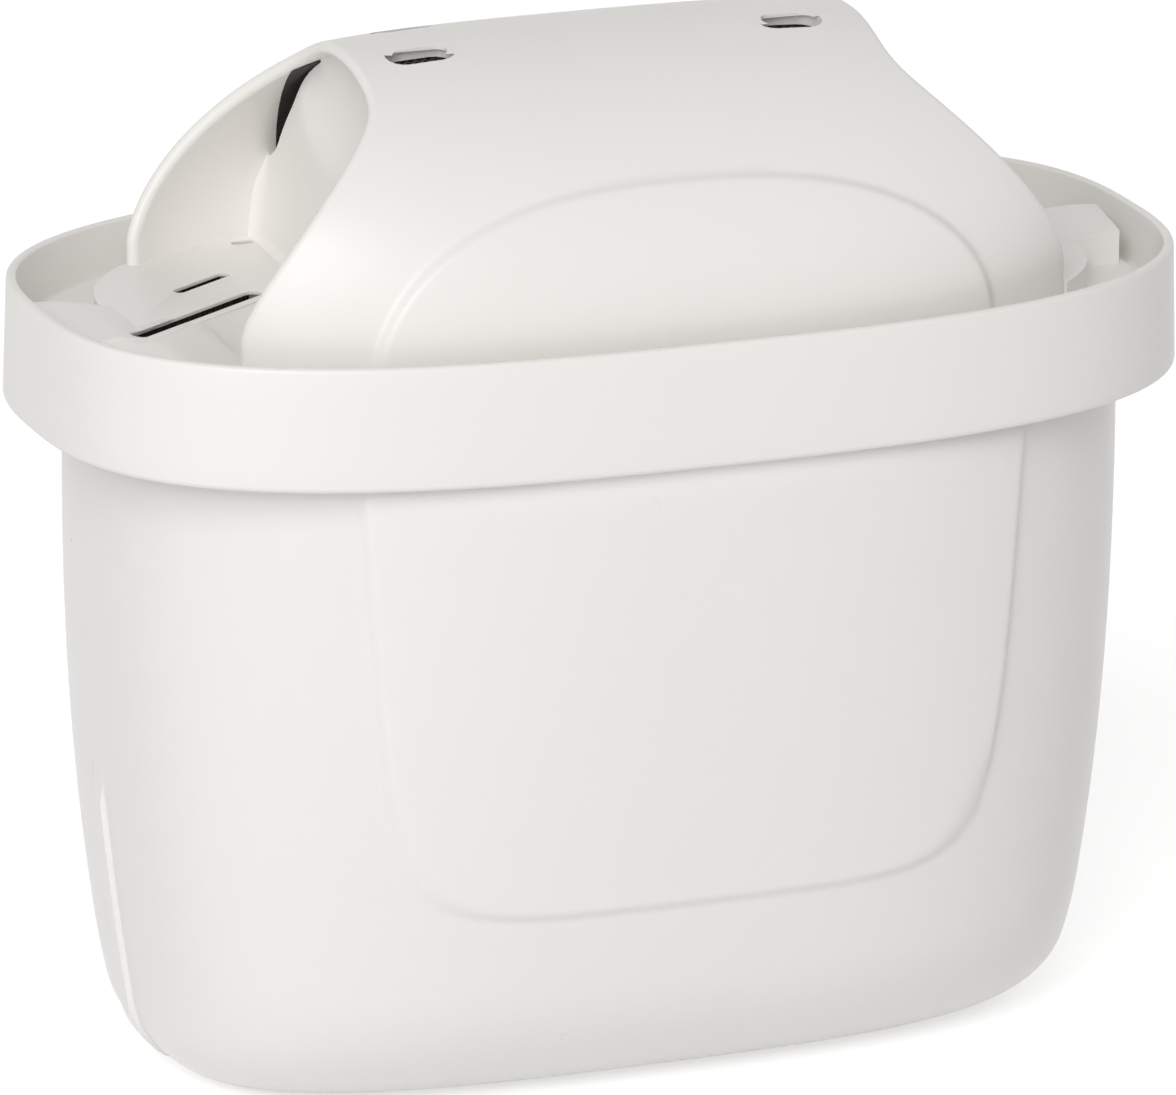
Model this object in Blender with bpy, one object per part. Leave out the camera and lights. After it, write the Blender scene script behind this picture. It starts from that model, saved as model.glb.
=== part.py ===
"""Water pitcher filter cartridge.

An oval cup of filter grains hangs under a wide collar. The collar is one moulding with the domed
cover, whose two broad walls run out past the end walls as thin fins, so that each end has a finger
recess with a slotted floor. Sieves stand behind every slot, and the grains fill the cup.

The model is in metres with +Z up. +X runs along the oval's long axis, -Y is the front, and the
origin is the centre of the cup's bottom. The right end is the left end turned half a turn about Z.
"""
import math

import bmesh
import bpy
from mathutils import Matrix

MM = 0.001

# Collar: a superellipse ring round everything, with a deck sunk inside it
COLLAR_LENGTH = 105.0 * MM
COLLAR_WIDTH = 61.0 * MM
COLLAR_HEIGHT = 11.0 * MM
COLLAR_WALL = 1.5 * MM
COLLAR_SQUARENESS = 2.68
COLLAR_EDGE = 0.6 * MM
DECK_DROP = 4.2 * MM
DECK_THICKNESS = 1.5 * MM

# Cup: a tapered oval pot whose rim stands inside the collar
CUP_DEPTH = 61.0 * MM
CUP_END_STEP = 4.75 * MM
CUP_WALL = 1.2 * MM
CUP_FLOOR = 2.2 * MM
CUP_TAPER_END = 5.2 * MM
CUP_TAPER_SIDE = 4.2 * MM
CUP_TAPER_END_POWER = 2.3
CUP_TAPER_SIDE_POWER = 3.0
CUP_ROUND_END = 7.1 * MM
CUP_ROUND_SIDE = 13.4 * MM
CUP_SQUARENESS_TOP = 2.5
CUP_SQUARENESS_BOTTOM = 2.9

# Raised panel on each broad side of the cup, and the keying rib low on each end
CUP_PANEL_HALF_WIDTH = 31.1 * MM
CUP_PANEL_TAPER = 0.079
CUP_PANEL_DROP = 40.7 * MM
CUP_PANEL_SQUARENESS = 7.0
PANEL_RISE = 0.6 * MM
RIB_WIDTH = 3.2 * MM
RIB_TOP = 28.0 * MM
RIB_FOOT = 1.6 * MM
RIB_RISE = 0.7 * MM

# Outlet in the cup's bottom
OUTLET_LENGTH = 56.0 * MM
OUTLET_WIDTH = 13.0 * MM
OUTLET_DEPTH = 1.0 * MM
OUTLET_SLOTS = 9
OUTLET_SLOT_PITCH = 5.4 * MM
OUTLET_SLOT_LENGTH = 8.0 * MM
OUTLET_SLOT_WIDTH = 1.6 * MM

# Dome: an arch in cross-section, hollow inside and open to the cup below
MOAT_END = 6.0 * MM
MOAT_SIDE = 4.1 * MM
DOME_RISE = 21.9 * MM
DOME_WALL = 1.3 * MM
DOME_PLAN_SQUARENESS = 2.7
DOME_ARCH_POWER = 1.8
DOME_RIDGE_POWER = 3.0
DOME_END_POWER = 3.5
ARCH_PANEL_HALF_WIDTH = 29.0 * MM
ARCH_PANEL_TOP = 11.9 * MM
ARCH_PANEL_CENTRE = -4.5 * MM
ARCH_PANEL_SQUARENESS = 2.45

# Finger recess at each end: the fins' sloping edge, the bowed end wall, its dimple and its side slit
FIN_SETBACK = 7.0 * MM
FIN_RUN = 16.0 * MM
FIN_TOP_DROP = 2.4 * MM
FIN_CURVE = 1.5
FIN_SKEW = 0.03
ROOF_OVERHANG = -1.4 * MM
RECESS_DROP = 1.8 * MM
RECESS_FLOOR = 1.3 * MM
RECESS_LENGTH = 20.0 * MM
END_WALL_LEAN = 0.1
END_WALL_BOW = 3.7 * MM
DIMPLE_DROP = 7.9 * MM
DIMPLE_Y = 3.5 * MM
DIMPLE_HALF_WIDTH = 9.2 * MM
DIMPLE_HALF_HEIGHT = 4.7 * MM
DIMPLE_DEPTH = 1.4 * MM
DIMPLE_BALL = 3.4 * MM
SLIT_LOW = 5.6 * MM
SLIT_LOW_WIDTH = 1.4 * MM
SLIT_HIGH_DROP = 4.5 * MM
SLIT_HIGH_WIDTH = 0.6 * MM
SLIT_BITE = 0.4 * MM

# Recess floor at the left end: a tongue out over the deck, a rounded lobe, and slots turned in plan
TONGUE_DROP = 1.15 * MM
TONGUE_REACH = 1.3 * MM
TONGUE_ROOT = 1.5 * MM
TONGUE_BACK = 5.2 * MM
TONGUE_FRONT = 4.9 * MM
TONGUE_ROOT_FRONT = 2.9 * MM
TONGUE_CORNER = 1.6 * MM
LOBE_HALF_WIDTH = 1.75 * MM
LOBE_LENGTH = 8.0 * MM
LOBE_RISE = 0.1 * MM
SLOT_TURN = math.radians(33.5)
LONG_SLOT_BEYOND_FINS = 6.64 * MM
LONG_SLOT_Y = -5.14 * MM
LONG_SLOT_LENGTH = 18.2 * MM
LONG_SLOT_WIDTH = 1.6 * MM
SHORT_SLOT_WITHIN_FINS = 1.4 * MM
SHORT_SLOT_Y = 7.0 * MM
SHORT_SLOT_LENGTH = 7.6 * MM
SHORT_SLOT_WIDTH = 1.0 * MM
CORNER_SLOT_FROM_WALL = 1.6 * MM
CORNER_SLOT_FROM_SIDE = 5.0 * MM
CORNER_SLOT_LENGTH = 2.8 * MM
FLOOR_EDGE_LIP = 0.2 * MM
FLOOR_EDGE_WALL = 0.9 * MM

# Four small slots along the ridge
RIDGE_SLOT_FROM_END = 6.0 * MM
RIDGE_SLOT_Y = 3.6 * MM
RIDGE_SLOT_LENGTH = 4.8 * MM
RIDGE_SLOT_WIDTH = 1.1 * MM

# What stands inside
SEAT_GAP = 0.3 * MM
SIEVE_THICKNESS = 0.6 * MM
SIEVE_CELL = 1.4 * MM
SIEVE_PITCH = 2.6 * MM
SIEVE_MARGIN = 1.0 * MM
RIDGE_CELLS = 12
OUTLET_SIEVE_MARGIN = 1.5 * MM
BED_DROP = 3.0 * MM

# How finely round shapes are divided
RING_POINTS = 56
OUTLET_POINTS = 40
DOME_STEPS = 10
DOME_LAST_TURN = math.radians(84)
CUP_ROUND_STEPS = 6
CUP_WALL_STEPS = 5
FAR = 80.0 * MM

# Levels and half sizes that follow from the sizes above
COLLAR_BOTTOM = CUP_DEPTH
COLLAR_TOP = COLLAR_BOTTOM + COLLAR_HEIGHT
DECK_TOP = COLLAR_TOP - DECK_DROP
DECK_UNDER = DECK_TOP - DECK_THICKNESS
DECK_MIDDLE = (DECK_TOP + DECK_UNDER) / 2
DECK_SEAT = (DECK_TOP + DECK_MIDDLE) / 2
RECESS_TOP = COLLAR_TOP - RECESS_DROP
RECESS_UNDER = RECESS_TOP - RECESS_FLOOR
RIDGE_TOP = COLLAR_TOP + DOME_RISE
COLLAR_HALF_LENGTH = COLLAR_LENGTH / 2
COLLAR_HALF_WIDTH = COLLAR_WIDTH / 2
CUP_HALF_LENGTH = COLLAR_HALF_LENGTH - CUP_END_STEP
CUP_HALF_WIDTH = COLLAR_HALF_WIDTH - COLLAR_WALL - SEAT_GAP
DOME_HALF_LENGTH = COLLAR_HALF_LENGTH - COLLAR_WALL - MOAT_END
DOME_HALF_WIDTH = COLLAR_HALF_WIDTH - COLLAR_WALL - MOAT_SIDE
FIN_FOOT = DOME_HALF_LENGTH - FIN_SETBACK
END_WALL_FOOT = DOME_HALF_LENGTH - RECESS_LENGTH
ROOF_END = END_WALL_FOOT + ROOF_OVERHANG
FIN_TOP = DOME_RISE - FIN_TOP_DROP
DIMPLE_HEIGHT = DOME_RISE - DIMPLE_DROP
SLIT_HIGH = DOME_RISE - SLIT_HIGH_DROP
SLIT_X = ROOF_END + ROOF_OVERHANG
LONG_SLOT_START = (-FIN_FOOT - LONG_SLOT_BEYOND_FINS, LONG_SLOT_Y)
SHORT_SLOT_START = (SHORT_SLOT_WITHIN_FINS - FIN_FOOT, SHORT_SLOT_Y)
CORNER_SLOT_START = (-END_WALL_FOOT - CORNER_SLOT_FROM_WALL, DOME_HALF_WIDTH - CORNER_SLOT_FROM_SIDE)
RIDGE_SLOT_X = ROOF_END - RIDGE_SLOT_FROM_END
BED_TOP = COLLAR_BOTTOM - BED_DROP
OUTLET_SIEVE_TOP = CUP_FLOOR + SEAT_GAP + SIEVE_THICKNESS
INLET_SIEVE_TOP = RECESS_UNDER - SEAT_GAP


def superellipse(half_length, half_width, squareness, z, count=RING_POINTS):
    """Points of an oval at height z, counted anticlockwise from +X."""
    points = []
    for i in range(count):
        turn = 2 * math.pi * i / count
        cosine, sine = math.cos(turn), math.sin(turn)
        x = half_length * math.copysign(abs(cosine) ** (2 / squareness), cosine)
        y = half_width * math.copysign(abs(sine) ** (2 / squareness), sine)
        points.append((x, y, z))
    return points


def stadium(start, length, width, turn, steps=5):
    """Outline of a round-ended slot, from the centre of its first end and turned in plan."""
    points = []
    for reach, first in ((length - width, -math.pi / 2), (0.0, math.pi / 2)):
        for i in range(steps + 1):
            angle = first + math.pi * i / steps
            along = reach + width / 2 * math.cos(angle)
            across = width / 2 * math.sin(angle)
            x = start[0] + along * math.cos(turn) - across * math.sin(turn)
            y = start[1] + along * math.sin(turn) + across * math.cos(turn)
            points.append((x, y))
    return points


def add_object(name, mesh, group):
    """Put a mesh into the scene. What cuts another piece is drawn as wires only."""
    piece = bpy.data.objects.new(name, mesh)
    group.objects.link(piece)
    if group.name == "cutters":
        piece.hide_render = True
        piece.display_type = "WIRE"
    return piece


def close_up(name, body, group):
    """Turn a bmesh into a named object with its faces pointing out."""
    bmesh.ops.recalc_face_normals(body, faces=body.faces)
    mesh = bpy.data.meshes.new(name)
    body.to_mesh(mesh)
    body.free()
    return add_object(name, mesh, group)


def loft(name, rings, group):
    """A closed body through rings that have equal point counts, with a flat face at each end."""
    body = bmesh.new()
    rows = [[body.verts.new(point) for point in ring] for ring in rings]
    for lower, upper in zip(rows, rows[1:]):
        for i in range(len(lower)):
            j = (i + 1) % len(lower)
            body.faces.new((lower[i], lower[j], upper[j], upper[i]))
    body.faces.new(reversed(rows[0]))
    body.faces.new(rows[-1])
    return close_up(name, body, group)


def add_prism(body, outline, axis, low, high):
    """Add an outline drawn across X, Y or Z to a bmesh, extruded along that axis."""
    order = {"X": (2, 0, 1), "Y": (0, 2, 1), "Z": (0, 1, 2)}[axis]
    corners = []
    for first, second in outline:
        values = (first, second, low)
        corners.append(body.verts.new([values[k] for k in order]))
    face = body.faces.new(corners)
    moved = bmesh.ops.extrude_face_region(body, geom=[face])["geom"]
    lift = [high - low if letter == axis else 0.0 for letter in "XYZ"]
    bmesh.ops.translate(body, vec=lift, verts=[v for v in moved if isinstance(v, bmesh.types.BMVert)])


def prism(name, outline, axis, low, high, group):
    """An outline drawn across X, Y or Z and extruded along that axis from low to high."""
    body = bmesh.new()
    add_prism(body, outline, axis, low, high)
    return close_up(name, body, group)


def add_cell(body, low, high):
    """Add a cube between two corners to a bmesh."""
    made = bmesh.ops.create_cube(body, size=1.0)["verts"]
    bmesh.ops.scale(body, vec=[h - l for l, h in zip(low, high)], verts=made)
    bmesh.ops.translate(body, vec=[(h + l) / 2 for l, h in zip(low, high)], verts=made)


def box(name, low, high, group):
    """A box between two corners."""
    body = bmesh.new()
    add_cell(body, low, high)
    return close_up(name, body, group)


def ball(name, centre, radii, group):
    """An ellipsoid."""
    body = bmesh.new()
    made = bmesh.ops.create_uvsphere(body, u_segments=18, v_segments=11, radius=1.0)["verts"]
    bmesh.ops.scale(body, vec=radii, verts=made)
    bmesh.ops.translate(body, vec=centre, verts=made)
    return close_up(name, body, group)


def combine(piece, tool, operation):
    """Join, cut or intersect a piece with another closed body."""
    modifier = piece.modifiers.new(tool.name, "BOOLEAN")
    modifier.operation = operation
    modifier.object = tool
    modifier.solver = "EXACT"


def settle(piece, *steps):
    """Shape a cutter with other bodies, each given with its operation, and keep only the result."""
    for operation, tool in steps:
        combine(piece, tool, operation)
    bpy.context.view_layer.update()
    seen = piece.evaluated_get(bpy.context.evaluated_depsgraph_get())
    mesh = bpy.data.meshes.new_from_object(seen)
    piece.modifiers.clear()
    piece.data = mesh
    for _, tool in steps:
        bpy.data.objects.remove(tool)
    return piece


def half_turned(mesh, name):
    """A copy of a mesh turned half a turn about Z, which only changes the signs of X and Y."""
    copy = mesh.copy()
    copy.transform(Matrix.Diagonal((-1.0, -1.0, 1.0, 1.0)))
    copy.name = name
    return copy


def other_end(piece, group):
    """The same body at the right end."""
    name = piece.name.replace("left", "right")
    return add_object(name, half_turned(piece.data, name), group)


def plastic(name, colour, roughness):
    """A plain moulded finish."""
    material = bpy.data.materials.new(name)
    material.use_nodes = True
    shader = material.node_tree.nodes["Principled BSDF"]
    shader.inputs["Base Color"].default_value = (*colour, 1.0)
    shader.inputs["Roughness"].default_value = roughness
    shader.inputs["Metallic"].default_value = 0.0
    return material


def finish(piece, material):
    """Give a piece its material, and smooth shading with crisp edges."""
    piece.data.materials.append(material)
    piece.data.shade_smooth()
    piece.data.set_sharp_from_angle(angle=math.radians(30))


def round_in(height, radius):
    """How far a rounded corner draws a section in, at a height above its floor."""
    rise = max(radius - height, 0.0)
    return radius - math.sqrt(max(radius * radius - rise * rise, 0.0))


def cup_ring(z, inset, floor, count=RING_POINTS):
    """The cup's section at height z, drawn in by a wall."""
    depth = max((COLLAR_BOTTOM - z) / CUP_DEPTH, 0.0)
    half_length = CUP_HALF_LENGTH - CUP_TAPER_END * depth ** CUP_TAPER_END_POWER - inset
    half_width = CUP_HALF_WIDTH - CUP_TAPER_SIDE * depth ** CUP_TAPER_SIDE_POWER - inset
    half_length -= round_in(z - floor, CUP_ROUND_END - max(inset, 0.0))
    half_width -= round_in(z - floor, CUP_ROUND_SIDE - max(inset, 0.0))
    squareness = CUP_SQUARENESS_TOP + (CUP_SQUARENESS_BOTTOM - CUP_SQUARENESS_TOP) * depth
    return superellipse(half_length, half_width, squareness, z, count)


def cup_loft(name, inset, floor, top, group, count=RING_POINTS):
    """The cup's form from a floor to a top level, drawn in by inset, or grown where it is negative."""
    rounding = max(CUP_ROUND_END, CUP_ROUND_SIDE) - max(inset, 0.0)
    levels = []
    for i in range(CUP_ROUND_STEPS):
        levels.append(floor + rounding * (1 - math.cos(math.pi / 2 * i / CUP_ROUND_STEPS)))
    for i in range(CUP_WALL_STEPS + 1):
        levels.append(floor + rounding + (top - floor - rounding) * i / CUP_WALL_STEPS)
    return loft(name, [cup_ring(z, inset, floor, count) for z in levels], group)


def cup_panel_outline():
    """A wide U that hangs from the collar, with softly squared lower corners."""
    steps = 18
    right = [(CUP_PANEL_HALF_WIDTH, COLLAR_TOP)]
    for i in range(1, steps):
        turn = math.pi / 2 * i / steps
        drop = CUP_PANEL_DROP * math.sin(turn) ** (2 / CUP_PANEL_SQUARENESS)
        reach = math.cos(turn) ** (2 / CUP_PANEL_SQUARENESS)
        right.append((reach * (CUP_PANEL_HALF_WIDTH - CUP_PANEL_TAPER * drop), COLLAR_BOTTOM - drop))
    left = [(-x, z) for x, z in reversed(right)]
    return right + [(0.0, COLLAR_BOTTOM - CUP_PANEL_DROP)] + left


def make_cup(parts, cutters, material):
    """The pot: its wall, raised side panels, keying ribs, and the slotted outlet in its bottom."""
    cup = cup_loft("cup", 0.0, 0.0, DECK_UNDER - SEAT_GAP, parts)
    finish(cup, material)

    panel = cup_loft("cup_panel", -PANEL_RISE, 0.0, COLLAR_BOTTOM - SEAT_GAP, cutters)
    outline = prism("cup_panel_outline", cup_panel_outline(), "Y", -FAR, FAR, cutters)
    combine(cup, settle(panel, ("INTERSECT", outline)), "UNION")

    rib = cup_loft("cup_rib", -RIB_RISE, 0.0, COLLAR_BOTTOM - SEAT_GAP, cutters)
    strip = box("cup_rib_strip", (-FAR, -RIB_WIDTH / 2, RIB_FOOT), (FAR, RIB_WIDTH / 2, RIB_TOP), cutters)
    combine(cup, settle(rib, ("INTERSECT", strip)), "UNION")

    combine(cup, cup_loft("cup_hollow", CUP_WALL, CUP_FLOOR, COLLAR_TOP, cutters), "DIFFERENCE")
    sizes = (OUTLET_LENGTH / 2, OUTLET_WIDTH / 2, CUP_SQUARENESS_BOTTOM)
    rings = [superellipse(*sizes, z, OUTLET_POINTS) for z in (-MM, OUTLET_DEPTH)]
    combine(cup, loft("outlet_recess", rings, cutters), "DIFFERENCE")
    slots = bmesh.new()
    for middle in spaced(OUTLET_SLOTS, OUTLET_SLOT_PITCH):
        low = (middle - OUTLET_SLOT_WIDTH / 2, -OUTLET_SLOT_LENGTH / 2, 0.0)
        high = (middle + OUTLET_SLOT_WIDTH / 2, OUTLET_SLOT_LENGTH / 2, CUP_FLOOR + MM)
        add_cell(slots, low, high)
    combine(cup, close_up("outlet_slots", slots, cutters), "DIFFERENCE")


def dome_half_sizes(height, inset):
    """Half length and half width of the dome at a height above the collar's top."""
    share = min(max(height, 0.0) / (DOME_RISE - inset), 1.0)
    half_length = (DOME_HALF_LENGTH - inset) * (1 - share ** DOME_RIDGE_POWER) ** (1 / DOME_END_POWER)
    half_width = (DOME_HALF_WIDTH - inset) * (1 - share ** DOME_ARCH_POWER) ** (1 / DOME_ARCH_POWER)
    return half_length, half_width


def dome_side(x, height, inset):
    """Distance from the middle plane to the dome's broad wall."""
    half_length, half_width = dome_half_sizes(height, inset)
    share = min(abs(x) / half_length, 1.0)
    return half_width * (1 - share ** DOME_PLAN_SQUARENESS) ** (1 / DOME_PLAN_SQUARENESS)


def dome_loft(name, inset, bottom, group, count=RING_POINTS):
    """The dome's form drawn in by a wall. It stands straight from bottom up to the collar's top."""
    heights = [bottom - COLLAR_TOP]
    for i in range(DOME_STEPS + 1):
        turn = DOME_LAST_TURN * i / DOME_STEPS
        heights.append((DOME_RISE - inset) * math.sin(turn) ** (2 / DOME_ARCH_POWER))
    rings = []
    for height in heights:
        sizes = dome_half_sizes(height, inset)
        rings.append(superellipse(*sizes, DOME_PLAN_SQUARENESS, COLLAR_TOP + height, count))
    return loft(name, rings, group)


def oval_block(name, half_length, half_width, squareness, bottom, top, group):
    """An upright oval block."""
    rings = [superellipse(half_length, half_width, squareness, z) for z in (bottom, top)]
    return loft(name, rings, group)


def collar_block(name, inset, bottom, top, group):
    """A block of the collar's oval, drawn in by a wall."""
    sizes = (COLLAR_HALF_LENGTH - inset, COLLAR_HALF_WIDTH - inset, COLLAR_SQUARENESS)
    return oval_block(name, *sizes, bottom, top, group)


def collar_blank(name, group):
    """The collar's outer form, with both rims rounded over."""
    steps = 3
    profile = []
    for i in range(steps + 1):
        turn = math.pi / 2 * i / steps
        profile.append((COLLAR_EDGE * (1 - math.sin(turn)), COLLAR_EDGE * (1 - math.cos(turn))))
    profile += [(inset, COLLAR_HEIGHT - rise) for inset, rise in reversed(profile)]
    rings = []
    for inset, rise in profile:
        sizes = (COLLAR_HALF_LENGTH - inset, COLLAR_HALF_WIDTH - inset, COLLAR_SQUARENESS)
        rings.append(superellipse(*sizes, COLLAR_BOTTOM + rise))
    return loft(name, rings, group)


def end_wall_x(y, z):
    """The end wall's outer face: it leans in with height and bows out in the middle."""
    bow = END_WALL_BOW * (y / DOME_HALF_WIDTH) ** 2
    return END_WALL_FOOT - END_WALL_LEAN * (z - RECESS_TOP) - bow


def between_end_walls(name, inset, group):
    """The space between the outer faces of the two end walls, drawn in by a wall."""
    steps = 12
    rings = []
    for z in (COLLAR_BOTTOM - MM, RIDGE_TOP + MM):
        side = []
        for i in range(steps + 1):
            y = COLLAR_HALF_WIDTH * (2 * i / steps - 1)
            side.append((end_wall_x(y, z) - inset, y, z))
        rings.append(side + [(-x, -y, level) for x, y, level in side])
    return loft(name, rings, group)


def slot_frame(along, across):
    """The point at a distance along and across the long slot from its start."""
    cosine, sine = math.cos(SLOT_TURN), math.sin(SLOT_TURN)
    x = LONG_SLOT_START[0] + along * cosine - across * sine
    y = LONG_SLOT_START[1] + along * sine + across * cosine
    return x, y


def edge_y(x, wall):
    """Where the left recess floor's slanting edge is at x, with the edge drawn back by a wall."""
    before = wall - LONG_SLOT_WIDTH / 2 - FLOOR_EDGE_LIP - FLOOR_EDGE_WALL
    return LONG_SLOT_Y + math.tan(SLOT_TURN) * (x - LONG_SLOT_START[0]) + before / math.cos(SLOT_TURN)


def floor_block(name, bottom, top, group):
    """The ground at the left end from the recess floor's slanting edge back."""
    near = -END_WALL_FOOT / 2
    corners = [(-FAR, edge_y(-FAR, 0.0)), (near, edge_y(near, 0.0)), (near, FAR), (-FAR, FAR)]
    return prism(name, corners, "Z", bottom, top, group)


def front_block(name, wall, bottom, top, group):
    """The ground at the left end in front of the slanting edge, with the edge drawn back by a wall."""
    near = -END_WALL_FOOT / 2
    corners = [(-FAR, -FAR), (near, -FAR), (near, edge_y(near, wall)), (-FAR, edge_y(-FAR, wall))]
    return prism(name, corners, "Z", bottom, top, group)


def tongue(name, group):
    """A strip over the deck, a little higher than the recess floor, to just short of the collar."""
    outer = -(COLLAR_HALF_LENGTH - COLLAR_WALL - TONGUE_REACH)
    inner = -(DOME_HALF_LENGTH - TONGUE_ROOT)
    corner = outer + TONGUE_CORNER
    outline = [(corner, TONGUE_BACK), (outer, TONGUE_BACK - TONGUE_CORNER)]
    outline += [(outer, TONGUE_CORNER - TONGUE_FRONT), (corner, -TONGUE_FRONT)]
    outline += [(inner, -TONGUE_ROOT_FRONT), (inner, TONGUE_BACK)]
    return prism(name, outline, "Z", DECK_SEAT, COLLAR_TOP - TONGUE_DROP, group)


def lobe(name, group):
    """A rounded lip, a little higher than the recess floor, round the start of the long slot."""
    outline = stadium(LONG_SLOT_START, LOBE_LENGTH, 2 * LOBE_HALF_WIDTH, SLOT_TURN)
    return prism(name, outline, "Z", DECK_SEAT, RECESS_TOP + LOBE_RISE, group)


def arch_panel(name, group):
    """The raised arch on both broad sides of the dome, as one block through it."""
    steps = 18
    foot = min(DECK_UNDER, COLLAR_TOP + ARCH_PANEL_CENTRE - MM)
    right = [(ARCH_PANEL_HALF_WIDTH, foot)]
    for i in range(steps):
        turn = math.pi / 2 * i / steps
        reach = ARCH_PANEL_HALF_WIDTH * math.cos(turn) ** (2 / ARCH_PANEL_SQUARENESS)
        rise = (ARCH_PANEL_TOP - ARCH_PANEL_CENTRE) * math.sin(turn) ** (2 / ARCH_PANEL_SQUARENESS)
        right.append((reach, COLLAR_TOP + ARCH_PANEL_CENTRE + rise))
    outline = right + [(0.0, COLLAR_TOP + ARCH_PANEL_TOP)] + [(-x, z) for x, z in reversed(right)]
    panel = dome_loft(name, -PANEL_RISE, DECK_SEAT, group)
    return settle(panel, ("INTERSECT", prism(f"{name}_outline", outline, "Y", -FAR, FAR, group)))


def fin_edge(name, group):
    """Everything beyond the fins' sloping edge at the left end, where the front fin runs further out."""
    steps = 12
    outline = [(-FAR, DECK_UNDER), (-FIN_FOOT, DECK_UNDER)]
    for i in range(steps + 1):
        share = i / steps
        reach = FIN_FOOT - FIN_RUN * share ** FIN_CURVE
        outline.append((-max(reach, ROOF_END), COLLAR_TOP + FIN_TOP * share))
    outline += [(-ROOF_END, RIDGE_TOP + MM), (-FAR, RIDGE_TOP + MM)]
    edge = prism(name, outline, "Y", -FAR, FAR, group)
    skew = Matrix.Identity(4)
    skew[0][1] = FIN_SKEW
    skew[0][3] = -FIN_SKEW * dome_side(FIN_FOOT, 0.0, 0.0)
    edge.data.transform(skew)
    return edge


def slit_edge(height):
    """Where the side slit's straight edge is, at a height above the collar's top."""
    low = dome_side(SLIT_X, SLIT_LOW, DOME_WALL) - SLIT_LOW_WIDTH
    high = dome_side(SLIT_X, SLIT_HIGH, DOME_WALL) - SLIT_HIGH_WIDTH
    return low + (high - low) * (height - SLIT_LOW) / (SLIT_HIGH - SLIT_LOW)


def slit_outline(widen, inset):
    """The side slit, or its sieve, between a straight edge and the dome drawn in by a wall."""
    steps = 6
    low, high = SLIT_LOW - widen, SLIT_HIGH + widen
    outline = [(slit_edge(height) - widen, COLLAR_TOP + height) for height in (low, high)]
    for i in range(steps + 1):
        height = high + (low - high) * i / steps
        outline.append((dome_side(SLIT_X, height, inset), COLLAR_TOP + height))
    return outline


def slit(name, group):
    """The left end wall's side slit, cut a little way into the fin as well."""
    outline = slit_outline(0.0, DOME_WALL - SLIT_BITE)
    outer = -SLIT_X - MM
    return prism(name, outline, "X", outer, outer + MM + 4 * DOME_WALL, group)


def dimple_place():
    """The centre and radii of the ball that presses the finger dimple into the left end wall."""
    height = COLLAR_TOP + DIMPLE_HEIGHT
    stand_off = DIMPLE_BALL - DIMPLE_DEPTH
    spread = math.sqrt(1 - (stand_off / DIMPLE_BALL) ** 2)
    centre = (-end_wall_x(DIMPLE_Y, height) - stand_off, DIMPLE_Y, height)
    return centre, (DIMPLE_BALL, DIMPLE_HALF_WIDTH / spread, DIMPLE_HALF_HEIGHT / spread)


def end_block(name, wall, group):
    """The space between the end walls and their dimples, drawn in by a wall."""
    centre, radii = dimple_place()
    dimple = ball(f"{name}_dimple_left", centre, [radius + wall for radius in radii], group)
    block = between_end_walls(name, wall, group)
    return settle(block, ("DIFFERENCE", dimple), ("DIFFERENCE", other_end(dimple, group)))


def recess(group):
    """The space in both finger recesses, down to the floor, or to the deck in front of its edge."""
    space = dome_loft("recess", DOME_WALL, DECK_UNDER, group)
    block = floor_block("recess_floor_left", COLLAR_BOTTOM, RECESS_TOP, group)
    ends = end_block("recess_ends", 0.0, group)
    return settle(space, ("DIFFERENCE", ends), ("DIFFERENCE", block), ("DIFFERENCE", other_end(block, group)))


def dome_form(group):
    """The dome with its arch panels, fins, recesses and floor blocks, still solid in the middle."""
    edge = fin_edge("fin_edge_left", group)
    settle(edge, ("DIFFERENCE", floor_block("fin_edge_floor_left", COLLAR_BOTTOM, RECESS_TOP, group)))
    dome = dome_loft("dome", 0.0, DECK_MIDDLE, group)
    cuts = (("DIFFERENCE", edge), ("DIFFERENCE", other_end(edge, group)), ("DIFFERENCE", recess(group)))
    return settle(dome, ("UNION", arch_panel("arch_panel", group)), *cuts)


def dome_hollow(group):
    """The space inside the dome, open to the cup."""
    hollow = dome_loft("dome_hollow", DOME_WALL, COLLAR_BOTTOM, group)
    return settle(hollow, ("INTERSECT", end_block("dome_hollow_ends", DOME_WALL, group)))


def floor_slots(group):
    """The long, short and corner slots of both recess floors."""
    slots = (
        (LONG_SLOT_START, LONG_SLOT_LENGTH, LONG_SLOT_WIDTH, SLOT_TURN),
        (SHORT_SLOT_START, SHORT_SLOT_LENGTH, SHORT_SLOT_WIDTH, SLOT_TURN),
        (CORNER_SLOT_START, CORNER_SLOT_LENGTH, SHORT_SLOT_WIDTH, 0.0),
    )
    body = bmesh.new()
    for slot in slots:
        outline = stadium(*slot)
        for side in (1, -1):
            points = [(side * x, side * y) for x, y in outline]
            add_prism(body, points, "Z", COLLAR_BOTTOM + MM, RECESS_TOP + MM)
    return close_up("floor_slots", body, group)


def floor_hollow(group):
    """The space under both recess floors with the slots up through them, open to the cup."""
    sizes = (DOME_HALF_LENGTH - DOME_WALL, DOME_HALF_WIDTH - DOME_WALL, DOME_PLAN_SQUARENESS)
    hollow = oval_block("floor_hollow", *sizes, COLLAR_BOTTOM, RECESS_UNDER, group)
    front = front_block("floor_hollow_left", FLOOR_EDGE_WALL, COLLAR_BOTTOM - MM, RECESS_TOP, group)
    cuts = (("DIFFERENCE", front), ("DIFFERENCE", other_end(front, group)))
    return settle(hollow, *cuts, ("UNION", floor_slots(group)))


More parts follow.
